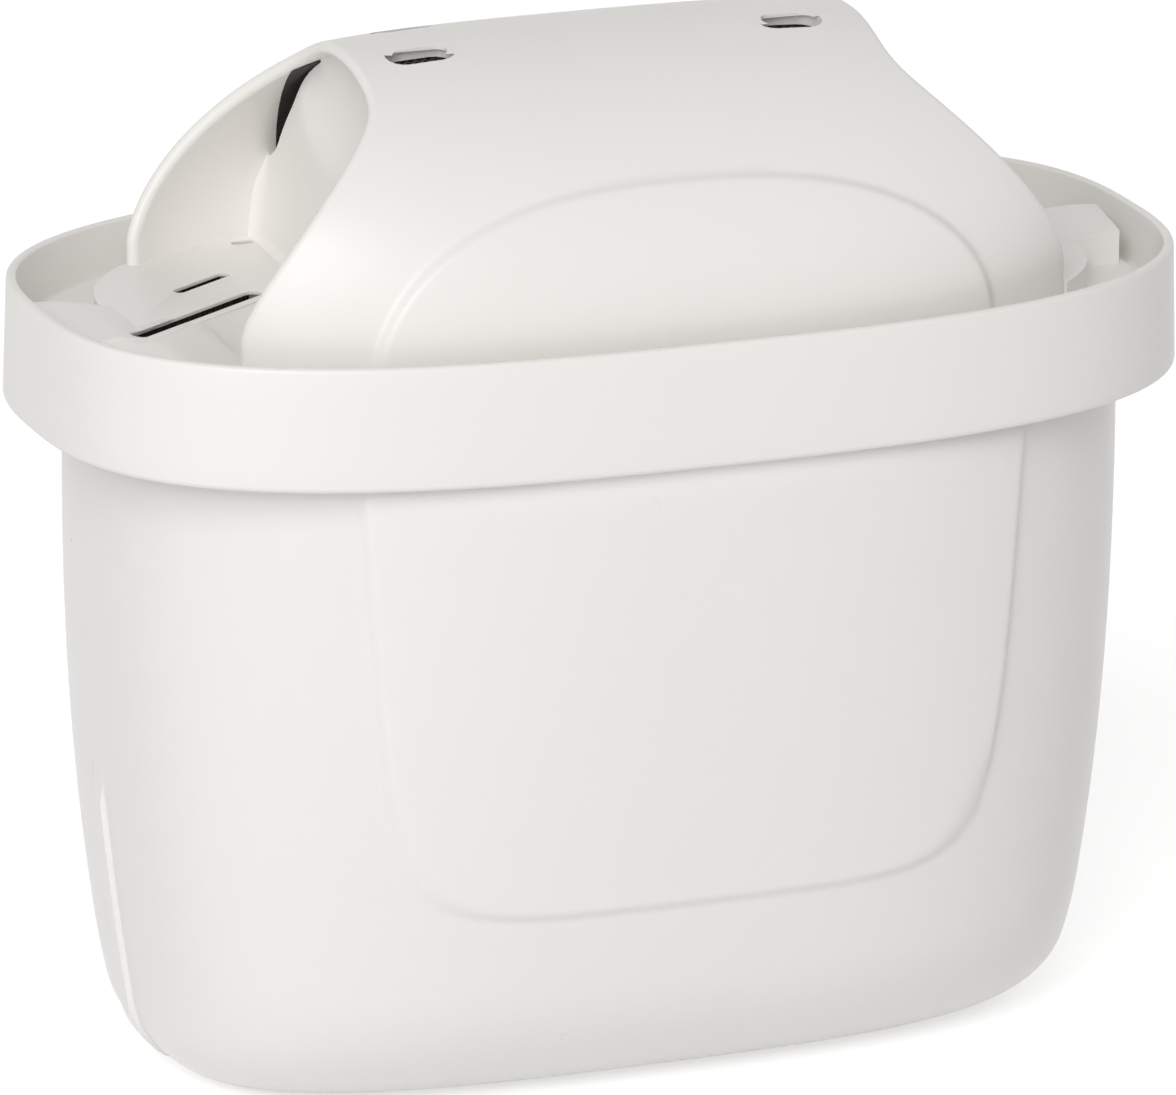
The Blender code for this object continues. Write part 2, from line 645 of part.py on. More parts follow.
def ridge_slots(group):
    """The four small slots along the ridge."""
    depth = RIDGE_SLOT_Y + 2 * DOME_WALL
    body = bmesh.new()
    for x in (-RIDGE_SLOT_X, RIDGE_SLOT_X):
        for y in (-RIDGE_SLOT_Y, RIDGE_SLOT_Y):
            start = (x - (RIDGE_SLOT_LENGTH - RIDGE_SLOT_WIDTH) / 2, y)
            outline = stadium(start, RIDGE_SLOT_LENGTH, RIDGE_SLOT_WIDTH, 0.0)
            add_prism(body, outline, "Z", RIDGE_TOP - depth, RIDGE_TOP + MM)
    return close_up("ridge_slots", body, group)


def make_cover(parts, cutters, material):
    """The cover: collar, sunk deck, dome with its fins and arches, recess floors, slots and slits."""
    cover = collar_blank("cover", parts)
    finish(cover, material)
    skirt_hollow = collar_block("skirt_hollow", COLLAR_WALL, COLLAR_BOTTOM - MM, DECK_UNDER, cutters)
    deck_well = collar_block("deck_well", COLLAR_WALL, DECK_TOP, COLLAR_TOP + MM, cutters)
    for space in (skirt_hollow, deck_well):
        combine(cover, space, "DIFFERENCE")
    left_tongue, left_lobe = tongue("tongue_left", cutters), lobe("lobe_left", cutters)
    ends = [left_tongue, other_end(left_tongue, cutters), left_lobe, other_end(left_lobe, cutters)]
    for block in [dome_form(cutters)] + ends:
        combine(cover, block, "UNION")
    left_slit = slit("slit_left", cutters)
    hollows = [dome_hollow(cutters), floor_hollow(cutters)]
    for space in hollows + [left_slit, other_end(left_slit, cutters), ridge_slots(cutters)]:
        combine(cover, space, "DIFFERENCE")


def spaced(count, pitch):
    """Evenly spaced places round zero."""
    return [(i - (count - 1) / 2) * pitch for i in range(count)]


def sieve_cells(name, places, bottom, top, group):
    """Small square holes through a level sieve, at places in its plane."""
    half = SIEVE_CELL / 2
    body = bmesh.new()
    for x, y in places:
        add_cell(body, (x - half, y - half, bottom), (x + half, y + half, top))
    return close_up(name, body, group)


def make_inlet_screens(parts, cutters, material):
    """The sieves under the long and short slots of both recess floors."""
    sunk = LONG_SLOT_WIDTH / 2 + FLOOR_EDGE_LIP - SEAT_GAP
    dx = SHORT_SLOT_START[0] - LONG_SLOT_START[0]
    dy = SHORT_SLOT_START[1] - LONG_SLOT_START[1]
    short = dy * math.cos(SLOT_TURN) - dx * math.sin(SLOT_TURN)
    far = LONG_SLOT_LENGTH + SIEVE_MARGIN
    wide = short + SHORT_SLOT_WIDTH / 2 + SIEVE_MARGIN
    corners = [slot_frame(0.0, -sunk), slot_frame(far, -sunk), slot_frame(far, wide), slot_frame(0.0, wide)]
    low = INLET_SIEVE_TOP - SIEVE_THICKNESS
    inset = DOME_WALL + SEAT_GAP
    sizes = (DOME_HALF_LENGTH - inset, DOME_HALF_WIDTH - inset, DOME_PLAN_SQUARENESS)
    oval = oval_block("inlet_oval", *sizes, COLLAR_BOTTOM, RIDGE_TOP, cutters)
    first = 2 * SIEVE_PITCH
    places = []
    for i in range(6):
        places += [slot_frame(first + i * SIEVE_PITCH, 0.0), slot_frame(first + i * SIEVE_PITCH, short)]
    cells = sieve_cells("inlet_cells_left", places, low - MM, INLET_SIEVE_TOP + MM, cutters)
    plate = prism("inlet_screen_left", corners, "Z", low, INLET_SIEVE_TOP, parts)
    settle(plate, ("INTERSECT", oval), ("DIFFERENCE", cells))
    both_ends(plate, parts, material)


def make_vent_screens(parts, cutters, material):
    """The sieves behind the side slits in both end walls."""
    inset = DOME_WALL + SEAT_GAP
    outline = slit_outline(SIEVE_MARGIN, 0.0)
    plate = prism("vent_screen_left", outline, "X", -FAR, 0.0, parts)
    near = between_end_walls("vent_screen_near", inset, cutters)
    behind = between_end_walls("vent_screen_behind", inset + SIEVE_THICKNESS, cutters)
    shell = dome_loft("vent_screen_shell", inset, COLLAR_BOTTOM, cutters)
    body = bmesh.new()
    half = SIEVE_CELL / 2
    for share in (0.3, 0.5, 0.7):
        height = SLIT_LOW + (SLIT_HIGH - SLIT_LOW) * share
        y = (slit_edge(height) - SIEVE_MARGIN + dome_side(SLIT_X, height, inset)) / 2
        z = COLLAR_TOP + height
        add_cell(body, (-FAR, y - half, z - half), (0.0, y + half, z + half))
    cells = close_up("vent_cells_left", body, cutters)
    steps = (("INTERSECT", near), ("DIFFERENCE", behind), ("INTERSECT", shell), ("DIFFERENCE", cells))
    settle(plate, *steps)
    both_ends(plate, parts, material)


def both_ends(piece, parts, material):
    """Finish a left-hand piece, and add the right-hand one as its own body half a turn away."""
    finish(piece, material)
    other_end(piece, parts)


def make_ridge_screen(parts, cutters, material):
    """The bent sieve under the four ridge slots, following the inside of the roof."""
    inset = DOME_WALL + SEAT_GAP
    count = RING_POINTS // 2
    screen = dome_loft("ridge_screen", inset, COLLAR_BOTTOM, parts, count)
    inset += SIEVE_THICKNESS
    under = dome_loft("ridge_screen_under", inset, COLLAR_BOTTOM - MM, cutters, count)
    reach_x = RIDGE_SLOT_X + RIDGE_SLOT_LENGTH / 2 + SEAT_GAP
    reach_y = RIDGE_SLOT_Y + RIDGE_SLOT_WIDTH / 2 + SIEVE_MARGIN
    near = box("ridge_screen_place", (-reach_x, -reach_y, COLLAR_TOP), (reach_x, reach_y, RIDGE_TOP), cutters)
    pitch = 2 * (reach_x - SIEVE_MARGIN - SIEVE_CELL / 2) / (RIDGE_CELLS - 1)
    places = [(x, y) for x in spaced(RIDGE_CELLS, pitch) for y in (-RIDGE_SLOT_Y, RIDGE_SLOT_Y)]
    cells = sieve_cells("ridge_cells", places, COLLAR_TOP, RIDGE_TOP, cutters)
    settle(screen, ("DIFFERENCE", under), ("INTERSECT", near), ("DIFFERENCE", cells))
    finish(screen, material)


def make_outlet_screen(parts, cutters, material):
    """The sieve on the cup's floor, over the outlet."""
    low = CUP_FLOOR + SEAT_GAP
    sizes = (OUTLET_LENGTH / 2 + OUTLET_SIEVE_MARGIN, OUTLET_WIDTH / 2 + OUTLET_SIEVE_MARGIN)
    rings = [superellipse(*sizes, CUP_SQUARENESS_BOTTOM, z, OUTLET_POINTS) for z in (low, OUTLET_SIEVE_TOP)]
    screen = loft("outlet_screen", rings, parts)
    places = [(x, y) for x in spaced(OUTLET_SLOTS, OUTLET_SLOT_PITCH) for y in spaced(3, SIEVE_PITCH)]
    cells = sieve_cells("outlet_cells", places, 0.0, OUTLET_SIEVE_TOP + MM, cutters)
    combine(screen, cells, "DIFFERENCE")
    finish(screen, material)


def make_filter_bed(parts, material):
    """The bed of grains, which fills the cup from the outlet's sieve nearly to the rim."""
    low = OUTLET_SIEVE_TOP + SEAT_GAP
    bed = cup_loft("filter_bed", CUP_WALL + SEAT_GAP, low, BED_TOP, parts, RING_POINTS // 2)
    finish(bed, material)


def main():
    """Clear the scene and build every piece."""
    for item in list(bpy.data.objects):
        bpy.data.objects.remove(item)
    parts = bpy.data.collections.new("filter_cartridge")
    cutters = bpy.data.collections.new("cutters")
    for group in (parts, cutters):
        bpy.context.scene.collection.children.link(group)
    make_cup(parts, cutters, plastic("milky_plastic", (0.76, 0.76, 0.73), 0.34))
    make_cover(parts, cutters, plastic("cream_plastic", (0.83, 0.82, 0.78), 0.38))
    mesh_plastic = plastic("sieve_plastic", (0.72, 0.72, 0.70), 0.55)
    make_inlet_screens(parts, cutters, mesh_plastic)
    make_vent_screens(parts, cutters, mesh_plastic)
    make_ridge_screen(parts, cutters, mesh_plastic)
    make_outlet_screen(parts, cutters, mesh_plastic)
    make_filter_bed(parts, plastic("filter_grains", (0.09, 0.09, 0.09), 0.85))


main()
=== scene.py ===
"""Looks of a water pitcher filter cartridge.

A milky cup of grains hangs under a cream collar. The collar's deck carries a domed cover, whose broad
walls run out past the end walls as fins, so that each end has a finger recess with a slotted floor.

Sizes are in millimetres and levels are heights above the ground. put_mesh and prism turn both into
metres. The right end is the left end turned half a turn about the upright axis, apart from the tongue
over the deck and the slope in front of it, which each end has in its own form.
"""

import math

import bmesh
import bpy
import numpy as np
from mathutils import Matrix, Vector

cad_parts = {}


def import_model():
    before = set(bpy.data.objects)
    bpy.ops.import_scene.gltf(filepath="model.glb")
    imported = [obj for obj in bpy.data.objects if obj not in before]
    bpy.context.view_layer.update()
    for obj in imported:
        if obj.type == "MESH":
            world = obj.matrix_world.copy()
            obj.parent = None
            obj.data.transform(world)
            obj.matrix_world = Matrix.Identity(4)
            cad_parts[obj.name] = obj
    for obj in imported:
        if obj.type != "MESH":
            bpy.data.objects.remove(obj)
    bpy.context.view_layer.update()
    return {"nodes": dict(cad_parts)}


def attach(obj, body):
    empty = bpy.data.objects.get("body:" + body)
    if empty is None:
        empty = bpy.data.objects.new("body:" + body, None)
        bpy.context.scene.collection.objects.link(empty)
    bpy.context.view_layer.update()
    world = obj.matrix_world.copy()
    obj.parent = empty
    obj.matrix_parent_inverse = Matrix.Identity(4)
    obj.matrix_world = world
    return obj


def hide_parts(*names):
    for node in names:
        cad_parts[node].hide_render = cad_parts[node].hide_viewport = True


MM = 0.001
SMOOTH_ANGLE = 40.0

# Collar and deck
COLLAR_HALF_LENGTH = 52.6
COLLAR_HALF_WIDTH = 30.2
COLLAR_SQUARENESS = 2.75
COLLAR_FLARE = 0.35
COLLAR_RIM = 0.9
RIM_EDGE = 0.4
COLLAR_WALL = 1.5
COLLAR_EDGE = 0.6
COLLAR_BOTTOM = 60.9
COLLAR_TOP = 72.0
LIP_ROUND = 0.3
DECK_TOP = 67.8
DECK_UNDER = 66.3
GROOVE_WIDTH = 1.3
GROOVE_DEPTH = 0.8

# Cup
CUP_HALF_LENGTH = 48.0
CUP_HALF_WIDTH = 28.7
CUP_WALL = 1.2
CUP_FLOOR = 2.2
CUP_RIM = 66.0
CUP_RIM_ROUND = 0.3
CUP_TAPER_END = 5.35
CUP_TAPER_SIDE = 4.2
CUP_ROUND_END = 7.1
CUP_ROUND_SIDE = 13.4
CUP_PANEL_HALF_WIDTH = 31.1
CUP_PANEL_TAPER = 0.079
CUP_PANEL_DROP = 40.7
CUP_PANEL_SQUARENESS = 7.0
CUP_PANEL_SOFT = 1.1
PANEL_RISE = 0.6
RIB_HALF_WIDTH = 1.3
RIB_FOOT = 1.6
RIB_TOP = 27.6
RIB_RISE = 0.5
OUTLET_HALF_LENGTH = 28.0
OUTLET_HALF_WIDTH = 6.5
OUTLET_DEPTH = 1.0
OUTLET_SLOTS = 9
OUTLET_SLOT_PITCH = 5.4
OUTLET_SLOT_START = -3.2
OUTLET_SLOT_LENGTH = 8.0
OUTLET_SLOT_WIDTH = 1.6

# Dome, with heights above the collar's top
DOME_HALF_LENGTH = 45.0
DOME_HALF_WIDTH = 24.9
DOME_RISE = 21.75
DOME_WALL = 1.3
DOME_PLAN = 2.7
DOME_LENGTH_POWER = 3.0
DOME_LENGTH_ROOT = 3.5
DOME_WIDTH_POWER = 1.8
DOME_FILLET = 0.5
FIN_FOOT = 38.4
FIN_RUN = 16.4
FIN_TOP = 19.5
FIN_CURVE = 1.5
FIN_SKEW = 0.03
FIN_BACK_Y = 17.17
ROOF_END = 23.6
ROOF_BLEND = 1.6
ARCH_HALF_WIDTH = 29.0
ARCH_CENTRE = -4.5
ARCH_RISE = 16.4
ARCH_SQUARENESS = 2.45
ARCH_SOFT = 0.9
RIDGE_SLOTS = ((-18.2, -3.9), (16.6, -3.9), (18.2, 3.9), (-16.6, 3.9))
RIDGE_SLOT_LENGTH = 5.0
RIDGE_SLOT_WIDTH = 2.0
RIDGE_EDGE = 0.3

# Recess at each end
FLOOR_TOP = 70.2
FLOOR_UNDER = 68.9
WALL_FOOT = 25.0
WALL_LEAN = 0.1
WALL_BOW = 3.7
WALL_BOW_SLIT = 1.2
CORNER_SHARE = 0.5
CORNER_ROUND = 2.6
CORNER_LOST_AT_SLIT = 2.4
CORNER_LOST_AT_ROOF = 1.2
WALL_FOOT_ROUND = 0.7
DIMPLE_HEIGHT = 14.0
DIMPLE_Y = 3.5
DIMPLE_HALF_WIDTH = 9.2
DIMPLE_HALF_HEIGHT = 4.7
DIMPLE_DEPTH = 1.4
DIMPLE_BALL = 3.4
SLIT_X = 23.2
SLIT_LOW = 6.1
SLIT_HIGH = 17.4
SLIT_LEAST = 0.35
SLIT_WIDENS = 1.6
SLOT_TURN = math.radians(33.5)
LONG_SLOT = ((-44.64, -5.14), 18.2, 1.6, SLOT_TURN)
SHORT_SLOT = ((-36.6, 7.0), 7.6, 1.2, SLOT_TURN)
FLOOR_EDGE_LIP = 0.2
FLOOR_EDGE_WALL = 0.9
CORNER_SLOT = ((-26.6, 19.9), 2.8, 1.0, 0.0)
TONGUE_TOP = 70.85
TONGUE_JOIN = ((-46.2, -6.4), (-43.6, -6.6), (-42.0, -4.4), (-42.0, 4.0))
TONGUE_LEFT = ((-51.6, 6.2), (-51.6, -4.3), (-49.9, -5.0)) + TONGUE_JOIN
TONGUE_RIGHT = ((-49.0, 5.0), (-50.7, -3.9), (-45.5, -5.0), (-42.0, -4.4), (-42.0, 4.8))
TONGUE_FALL = 0.1
FALL_FROM_Y = 6.2
FALL_FROM_X = -51.5
FALL_RUN = 6.0
RAMP_START = -49.0
RAMP_RUN = 6.8
RAMP_DIP = 0.12
LIP_TOP = 70.25
LIP_OUTLINE = ((-44.64, -5.14), 8.0, 3.5, SLOT_TURN)
THIN_EDGE = 0.3
UNDERCUT_FAR = 1.6
UNDERCUT_NEAR = 0.15
# Near-black sieves of painted shade behind the slots
PAINTED_SHADE_BACK = 1.1
PAINTED_SHADE_EXTRA = 1.4
PAINTED_SHADE_WIDTH = 0.8
CORNER_UNDERCUT_FAR = 0.8
APRON_RUN = 6.0
APRON_FOOT = 67.72
APRON_BACK = 0.9
APRON_LEVEL = 70.13
APRON_WALL_X = 24.6
APRON_KNOTS = ((-0.1, 1.5, 70.22), (6.0, 1.5, 70.18), (7.2, APRON_BACK, APRON_LEVEL))
APRON_LEFT = ((-51.5, -3.8, 69.8), (-49.8, -4.5, 69.93), (-46.3, -5.95, 70.45))
APRON_RIGHT = ((-46.0, -5.6, 70.15),)

# View: angles in degrees, and places in the picture's own pixels
VIEW_TURN = -21.88449
VIEW_FALL = 15.869229
VIEW_ROLL = -0.6146262
PICTURE_WIDTH = 1176
PICTURE_HEIGHT = 1095
COLLAR_PIXEL_X = 594.1732
COLLAR_PIXEL_Y = 253.5967
PIXELS_PER_MM = 11.2483512
FOCAL_PIXELS = 10500.0
SENSOR_WIDTH = 36.0

# Light
ROOM_STRENGTH = 0.42
FLOOR_LIFT = (0.55, 0.55, 0.55)
LAMPS = (
    ("key_lamp", (-0.75, -1.15, 1.05), 0.9, 0.9, 10.6),
    ("front_lamp", (-0.4, -1.4, 0.35), 0.8, 0.8, 1.0),
    ("side_lamp", (-1.1, -1.05, 0.4), 0.6, 0.8, 3.7),
)


def place_object(name, data):
    """An object at the origin that shows its data, linked into the scene."""
    thing = bpy.data.objects.new(name, data)
    bpy.context.scene.collection.objects.link(thing)
    return thing


def face_outwards(mesh, merge=False):
    """Turn a closed mesh's normals outwards, its doubles merged first where merge is set."""
    body = bmesh.new()
    body.from_mesh(mesh)
    if merge:
        bmesh.ops.remove_doubles(body, verts=body.verts, dist=1e-6)
    bmesh.ops.recalc_face_normals(body, faces=body.faces)
    body.to_mesh(mesh)
    body.free()


def put_mesh(name, points, faces):
    """A piece at the origin from points in millimetres and an array of quads, its doubles merged."""
    mesh = bpy.data.meshes.new(name)
    mesh.vertices.add(len(points))
    mesh.vertices.foreach_set("co", np.ascontiguousarray(points * MM, dtype=np.float32).ravel())
    mesh.loops.add(faces.size)
    mesh.loops.foreach_set("vertex_index", np.ascontiguousarray(faces, dtype=np.int32).ravel())
    mesh.polygons.add(len(faces))
    mesh.polygons.foreach_set("loop_start", np.arange(0, faces.size, faces.shape[1], dtype=np.int32))
    mesh.update(calc_edges=True)
    mesh.validate()
    face_outwards(mesh, merge=True)
    soften(mesh, SMOOTH_ANGLE)
    return place_object(name, mesh)


def soften(mesh, angle):
    """Smooth shading, broken at edges sharper than an angle in degrees."""
    mesh.shade_smooth()
    mesh.set_sharp_from_angle(angle=math.radians(angle))


def grid_quads(rows, columns, closed):
    """Quads of a grid of points. A closed grid's last column meets its first."""
    row = np.arange(rows - 1)[:, None]
    column = np.arange(columns if closed else columns - 1)[None, :]
    after = (column + 1) % columns
    near, far = row * columns, (row + 1) * columns
    corners = (near + column, near + after, far + after, far + column)
    return np.stack(np.broadcast_arrays(*corners), axis=-1).reshape(-1, 4)


def folded_quads(first, columns):
    """Quads that close the end of a folded tube: point j meets the point that lies behind it."""
    near = np.arange(columns // 2 - 1)
    far = columns - 1 - near
    return np.stack((first + near, first + near + 1, first + far - 1, first + far), axis=-1)


def folded_shell(name, face, back):
    """A plate from two equal grids: one runs over the face and the other returns over the back."""
    rows = np.concatenate((face, back[:, ::-1]), axis=1)
    count, columns = rows.shape[:2]
    quads = [grid_quads(count, columns, True)]
    quads += [folded_quads(first, columns) for first in (0, (count - 1) * columns)]
    return put_mesh(name, rows.reshape(-1, 3), np.concatenate(quads))


def prism(name, outline, axis, low, high):
    """An outline drawn across X or Z and carried straight from low to high, with flat ends."""
    outline = np.asarray(outline, dtype=float)
    count = len(outline)
    order = {"X": [2, 0, 1], "Z": [0, 1, 2]}[axis]
    levels = [np.column_stack((outline, np.full(count, level)))[:, order] for level in (low, high)]
    mesh = bpy.data.meshes.new(name)
    sides = grid_quads(2, count, True).tolist()
    ends = [list(range(count)), list(range(count, 2 * count))]
    mesh.from_pydata((np.concatenate(levels) * MM).tolist(), [], sides + ends)
    face_outwards(mesh)
    return place_object(name, mesh)


def bake(piece, smooth_angle):
    """Make what a piece's modifiers show its own mesh."""
    bpy.context.view_layer.update()
    seen = piece.evaluated_get(bpy.context.evaluated_depsgraph_get())
    mesh = bpy.data.meshes.new_from_object(seen)
    piece.modifiers.clear()
    piece.data = mesh
    soften(mesh, smooth_angle)
    mesh.name = piece.name


def cut(piece, tools, operation="DIFFERENCE"):
    """Take closed bodies away from a piece, or keep what it shares with them, and remove the bodies."""
    for tool in tools:
        modifier = piece.modifiers.new(tool.name, "BOOLEAN")
        modifier.operation = operation
        modifier.object = tool
        modifier.solver = "EXACT"
    bake(piece, SMOOTH_ANGLE)
    for tool in tools:
        bpy.data.objects.remove(tool)


def half_turned(piece, name):
    """A copy of a piece turned half a turn about the upright axis."""
    mesh = piece.data.copy()
    mesh.name = name
    mesh.transform(Matrix.Diagonal((-1.0, -1.0, 1.0, 1.0)))
    return place_object(name, mesh)


def oval(turn, half_length, half_width, squareness):
    """A superellipse: the axes' cosine and sine, each raised to 2 / squareness, times the half sizes."""
    cosine, sine = np.cos(turn), np.sin(turn)
    x = half_length * np.sign(cosine) * np.abs(cosine) ** (2 / squareness)
    y = half_width * np.sign(sine) * np.abs(sine) ** (2 / squareness)
    return x, y


def turns_round(half_length, half_width, squareness, spacing):
    """Turns round an oval whose steps along it are as long as spacing(x, y) asks."""
    fine = np.linspace(0, 2 * np.pi, 40001)
    x, y = oval(fine, half_length, half_width, squareness)
    wanted = spacing((x[1:] + x[:-1]) / 2, (y[1:] + y[:-1]) / 2)
    total = np.concatenate(([0.0], np.cumsum(np.hypot(np.diff(x), np.diff(y)) / wanted)))
    count = 4 * int(math.ceil(total[-1] / 4))
    return np.interp(np.arange(count) * total[-1] / count, total, fine)


def steps_along(low, high, spacing):
    """Values from low to high whose steps are as long as spacing(value) asks."""
    fine = np.linspace(low, high, 4001)
    total = np.concatenate(([0.0], np.cumsum((fine[1] - fine[0]) / spacing((fine[1:] + fine[:-1]) / 2))))
    return np.interp(np.linspace(0, total[-1], int(math.ceil(total[-1])) + 1), total, fine)


def ease(value):
    """0 below 0, 1 above 1, and a smooth S between."""
    share = np.clip(value, 0.0, 1.0)
    return share * share * (3 - 2 * share)


def smooth_max(first, second, blend):
    """The larger of two values, with the corner between them rounded over a blend."""
    return (first + second + np.sqrt((first - second) ** 2 + blend * blend)) / 2


def inside_share(side, up, half_width, half_height, power, soft):
    """0 outside and 1 inside a superellipse, eased over a soft width.

    side and up are shares of its half sizes and reach = (side ** power + up ** power) ** (1 / power), so
    that 1 - reach over the slope of reach is about the distance to its edge."""
    reach = (side ** power + up ** power) ** (1 / power)
    slope_x = (side / reach) ** (power - 1) / half_width
    slope_z = (up / reach) ** (power - 1) / half_height
    return ease(0.5 + (1 - reach) / np.hypot(slope_x, slope_z) / soft)


def drawn_in(distance, radius):
    """How far a round of a radius stands off at a distance from its end: a quarter circle."""
    rise = np.clip(radius - distance, 0.0, radius)
    return radius - np.sqrt(radius * radius - rise * rise)


# Cup

def cup_sizes(level, inset, floor):
    """Half length, half width and squareness of the cup's section at a level, drawn in by a wall.

    Both half sizes shrink with a power of the depth, and a quarter circle rounds them into the floor."""
    depth = np.maximum((COLLAR_BOTTOM - level) / COLLAR_BOTTOM, 0.0)
    half_length = CUP_HALF_LENGTH - CUP_TAPER_END * depth ** 2.3 - inset
    half_width = CUP_HALF_WIDTH - CUP_TAPER_SIDE * depth ** 3.0 - inset
    half_length = half_length - drawn_in(level - floor, CUP_ROUND_END - inset)
    half_width = half_width - drawn_in(level - floor, CUP_ROUND_SIDE - inset)
    return half_length, half_width, 2.5 + 0.4 * depth


def cup_panel_share(x, level):
    """0 outside and 1 inside the U-shaped panel: a superellipse that hangs from the collar."""
    drop = np.maximum(COLLAR_BOTTOM - level, 1e-6)
    width = CUP_PANEL_HALF_WIDTH - CUP_PANEL_TAPER * drop
    side, down = np.abs(x) / width + 1e-6, drop / CUP_PANEL_DROP
    return inside_share(side, down, width, CUP_PANEL_DROP, CUP_PANEL_SQUARENESS, CUP_PANEL_SOFT)


def rib_share(x, y, level):
    """0 outside and 1 inside the keying rib on each end."""
    side = ease(0.5 + (RIB_HALF_WIDTH - np.abs(y)) / 0.35)
    foot = ease(0.5 + (level - RIB_FOOT) / 0.8)
    top = ease(0.5 + (RIB_TOP - level) / 0.7)
    return side * foot * top * (np.abs(x) > COLLAR_HALF_WIDTH)


def make_cup():
    """The cup: one closed surface of ovals that runs up its outside, over the rim and down inside."""
    def spacing(x, y):
        near_panel = np.abs(np.abs(x) - 29.5) < 2.6
        near_rib = (np.abs(np.abs(y) - RIB_HALF_WIDTH) < 0.5) & (np.abs(x) > 30)
        return np.where(near_panel, 0.26, np.where(near_rib, 0.12, 1.25))

    def level_spacing(level):
        return np.where(np.abs(level - 21.0) < 3.2, 0.28, 1.6)

    turn = turns_round(46.0, 27.0, 2.7, spacing)
    rise = CUP_ROUND_SIDE * (1 - np.cos(np.linspace(0, np.pi / 2, 22)))
    wall = steps_along(CUP_ROUND_SIDE, CUP_RIM - CUP_RIM_ROUND, level_spacing)
    levels = np.concatenate((rise, wall[1:]))[:, None]
    half_length, half_width, squareness = cup_sizes(levels, 0.0, 0.0)
    x, y = oval(turn[None, :], half_length, half_width, squareness)
    below_collar = ease((COLLAR_BOTTOM - 0.3 - levels) / 0.3)
    panel, rib = PANEL_RISE * cup_panel_share(x, levels), RIB_RISE * rib_share(x, y, levels)
    proud = np.maximum(panel, rib) * below_collar
    x, y = oval(turn[None, :], half_length + proud, half_width + proud, squareness)
    outside = np.stack((x, y, np.broadcast_to(levels, x.shape)), axis=-1)

    outlet = []
    for share in (0.0, 0.3, 0.6, 0.9):
        outlet.append((share * OUTLET_HALF_LENGTH, share * OUTLET_HALF_WIDTH, OUTLET_DEPTH))
    for offset, level in ((-0.3, 1.0), (-0.09, 0.91), (0.0, 0.7), (0.0, 0.3), (0.09, 0.09), (0.3, 0.0)):
        outlet.append((OUTLET_HALF_LENGTH + offset, OUTLET_HALF_WIDTH + offset, level))
    foot_length, foot_width = half_length[0, 0], half_width[0, 0]
    for share in (0.3, 0.65):
        length = OUTLET_HALF_LENGTH + 0.3 + share * (foot_length - OUTLET_HALF_LENGTH - 0.3)
        width = OUTLET_HALF_WIDTH + 0.3 + share * (foot_width - OUTLET_HALF_WIDTH - 0.3)
        outlet.append((length, width, 0.0))

    top = []
    for angle in np.linspace(0, np.pi, 7):
        level = CUP_RIM - CUP_RIM_ROUND + CUP_RIM_ROUND * math.sin(angle)
        inset = CUP_WALL / 2 - (CUP_WALL / 2) * math.cos(angle)
        length, width, _ = cup_sizes(np.float64(CUP_RIM - CUP_RIM_ROUND), inset, 0.0)
        top.append((length, width, level))
    inner_round = CUP_ROUND_SIDE - CUP_WALL
    down = np.concatenate((np.linspace(CUP_RIM - 2.0, CUP_FLOOR + inner_round, 14),
                           CUP_FLOOR + inner_round * (1 - np.cos(np.linspace(np.pi / 2, 0, 12)[1:]))))
    length, width, inner_squareness = cup_sizes(down, CUP_WALL, CUP_FLOOR)
    inside = [(a, b, level) for a, b, level in zip(length, width, down)]
    inside += [(share * length[-1], share * width[-1], CUP_FLOOR) for share in (0.8, 0.4, 0.0)]
    inner_squareness = np.concatenate((inner_squareness, np.full(3, inner_squareness[-1])))

    def ovals(sizes, squareness):
        sizes = np.asarray(sizes)
        x, y = oval(turn[None, :], sizes[:, :1], sizes[:, 1:2], squareness)
        return np.stack((x, y, np.broadcast_to(sizes[:, 2:], x.shape)), axis=-1)

    inner = ovals(inside, inner_squareness[:, None])
    rows = np.concatenate((ovals(outlet, 2.9), outside, ovals(top[1:], 2.5), inner))
    cup = put_mesh("cup_shell", rows.reshape(-1, 3), grid_quads(len(rows), len(turn), True))
    slots = []
    for i in range(OUTLET_SLOTS):
        middle = (i - (OUTLET_SLOTS - 1) / 2) * OUTLET_SLOT_PITCH
        start = (middle, OUTLET_SLOT_START)
        outline = stadium(start, OUTLET_SLOT_LENGTH, OUTLET_SLOT_WIDTH, math.pi / 2)
        slots.append(prism(f"outlet_slot_{i}", outline, "Z", -1.0, CUP_FLOOR + 1.0))
    cut(cup, slots)
    return cup


def stadium(start, length, width, turn):
    """A round-ended slot's outline, from the centre of its first end and turned in plan."""
    bend = np.linspace(-np.pi / 2, np.pi / 2, 9)
    along = np.concatenate((length - width + width / 2 * np.cos(bend), -width / 2 * np.cos(bend)))
    across = np.concatenate((width / 2 * np.sin(bend), -width / 2 * np.sin(bend)))
    x = start[0] + along * math.cos(turn) - across * math.sin(turn)
    y = start[1] + along * math.sin(turn) + across * math.cos(turn)
    return np.column_stack((x, y))


def thinned(place, far, near):
    """A slot's outline grown all round by one amount, and by another towards the front."""
    (x, y), length, width, turn = place
    shift = (far - near) / 2
    grow = (far + near) / 2
    start = (x - shift * math.sin(turn), y + shift * math.cos(turn))
    return stadium(start, length + 2 * grow, width + 2 * grow, turn)


# Cover

def edge_y(x, back):
    """Where the left floor's slanting edge is at x, drawn back by a distance square to the edge."""
    before = back - LONG_SLOT[2] / 2 - FLOOR_EDGE_LIP - FLOOR_EDGE_WALL
    return LONG_SLOT[0][1] + math.tan(SLOT_TURN) * (x - LONG_SLOT[0][0]) + before / math.cos(SLOT_TURN)


def arc(centre, radius, first, last, count=6):
    """Points (inset, level) on an arc from a first to a last angle in degrees."""
    angle = np.radians(np.linspace(first, last, count))
    return np.column_stack((centre[0] + radius * np.cos(angle), centre[1] + radius * np.sin(angle)))


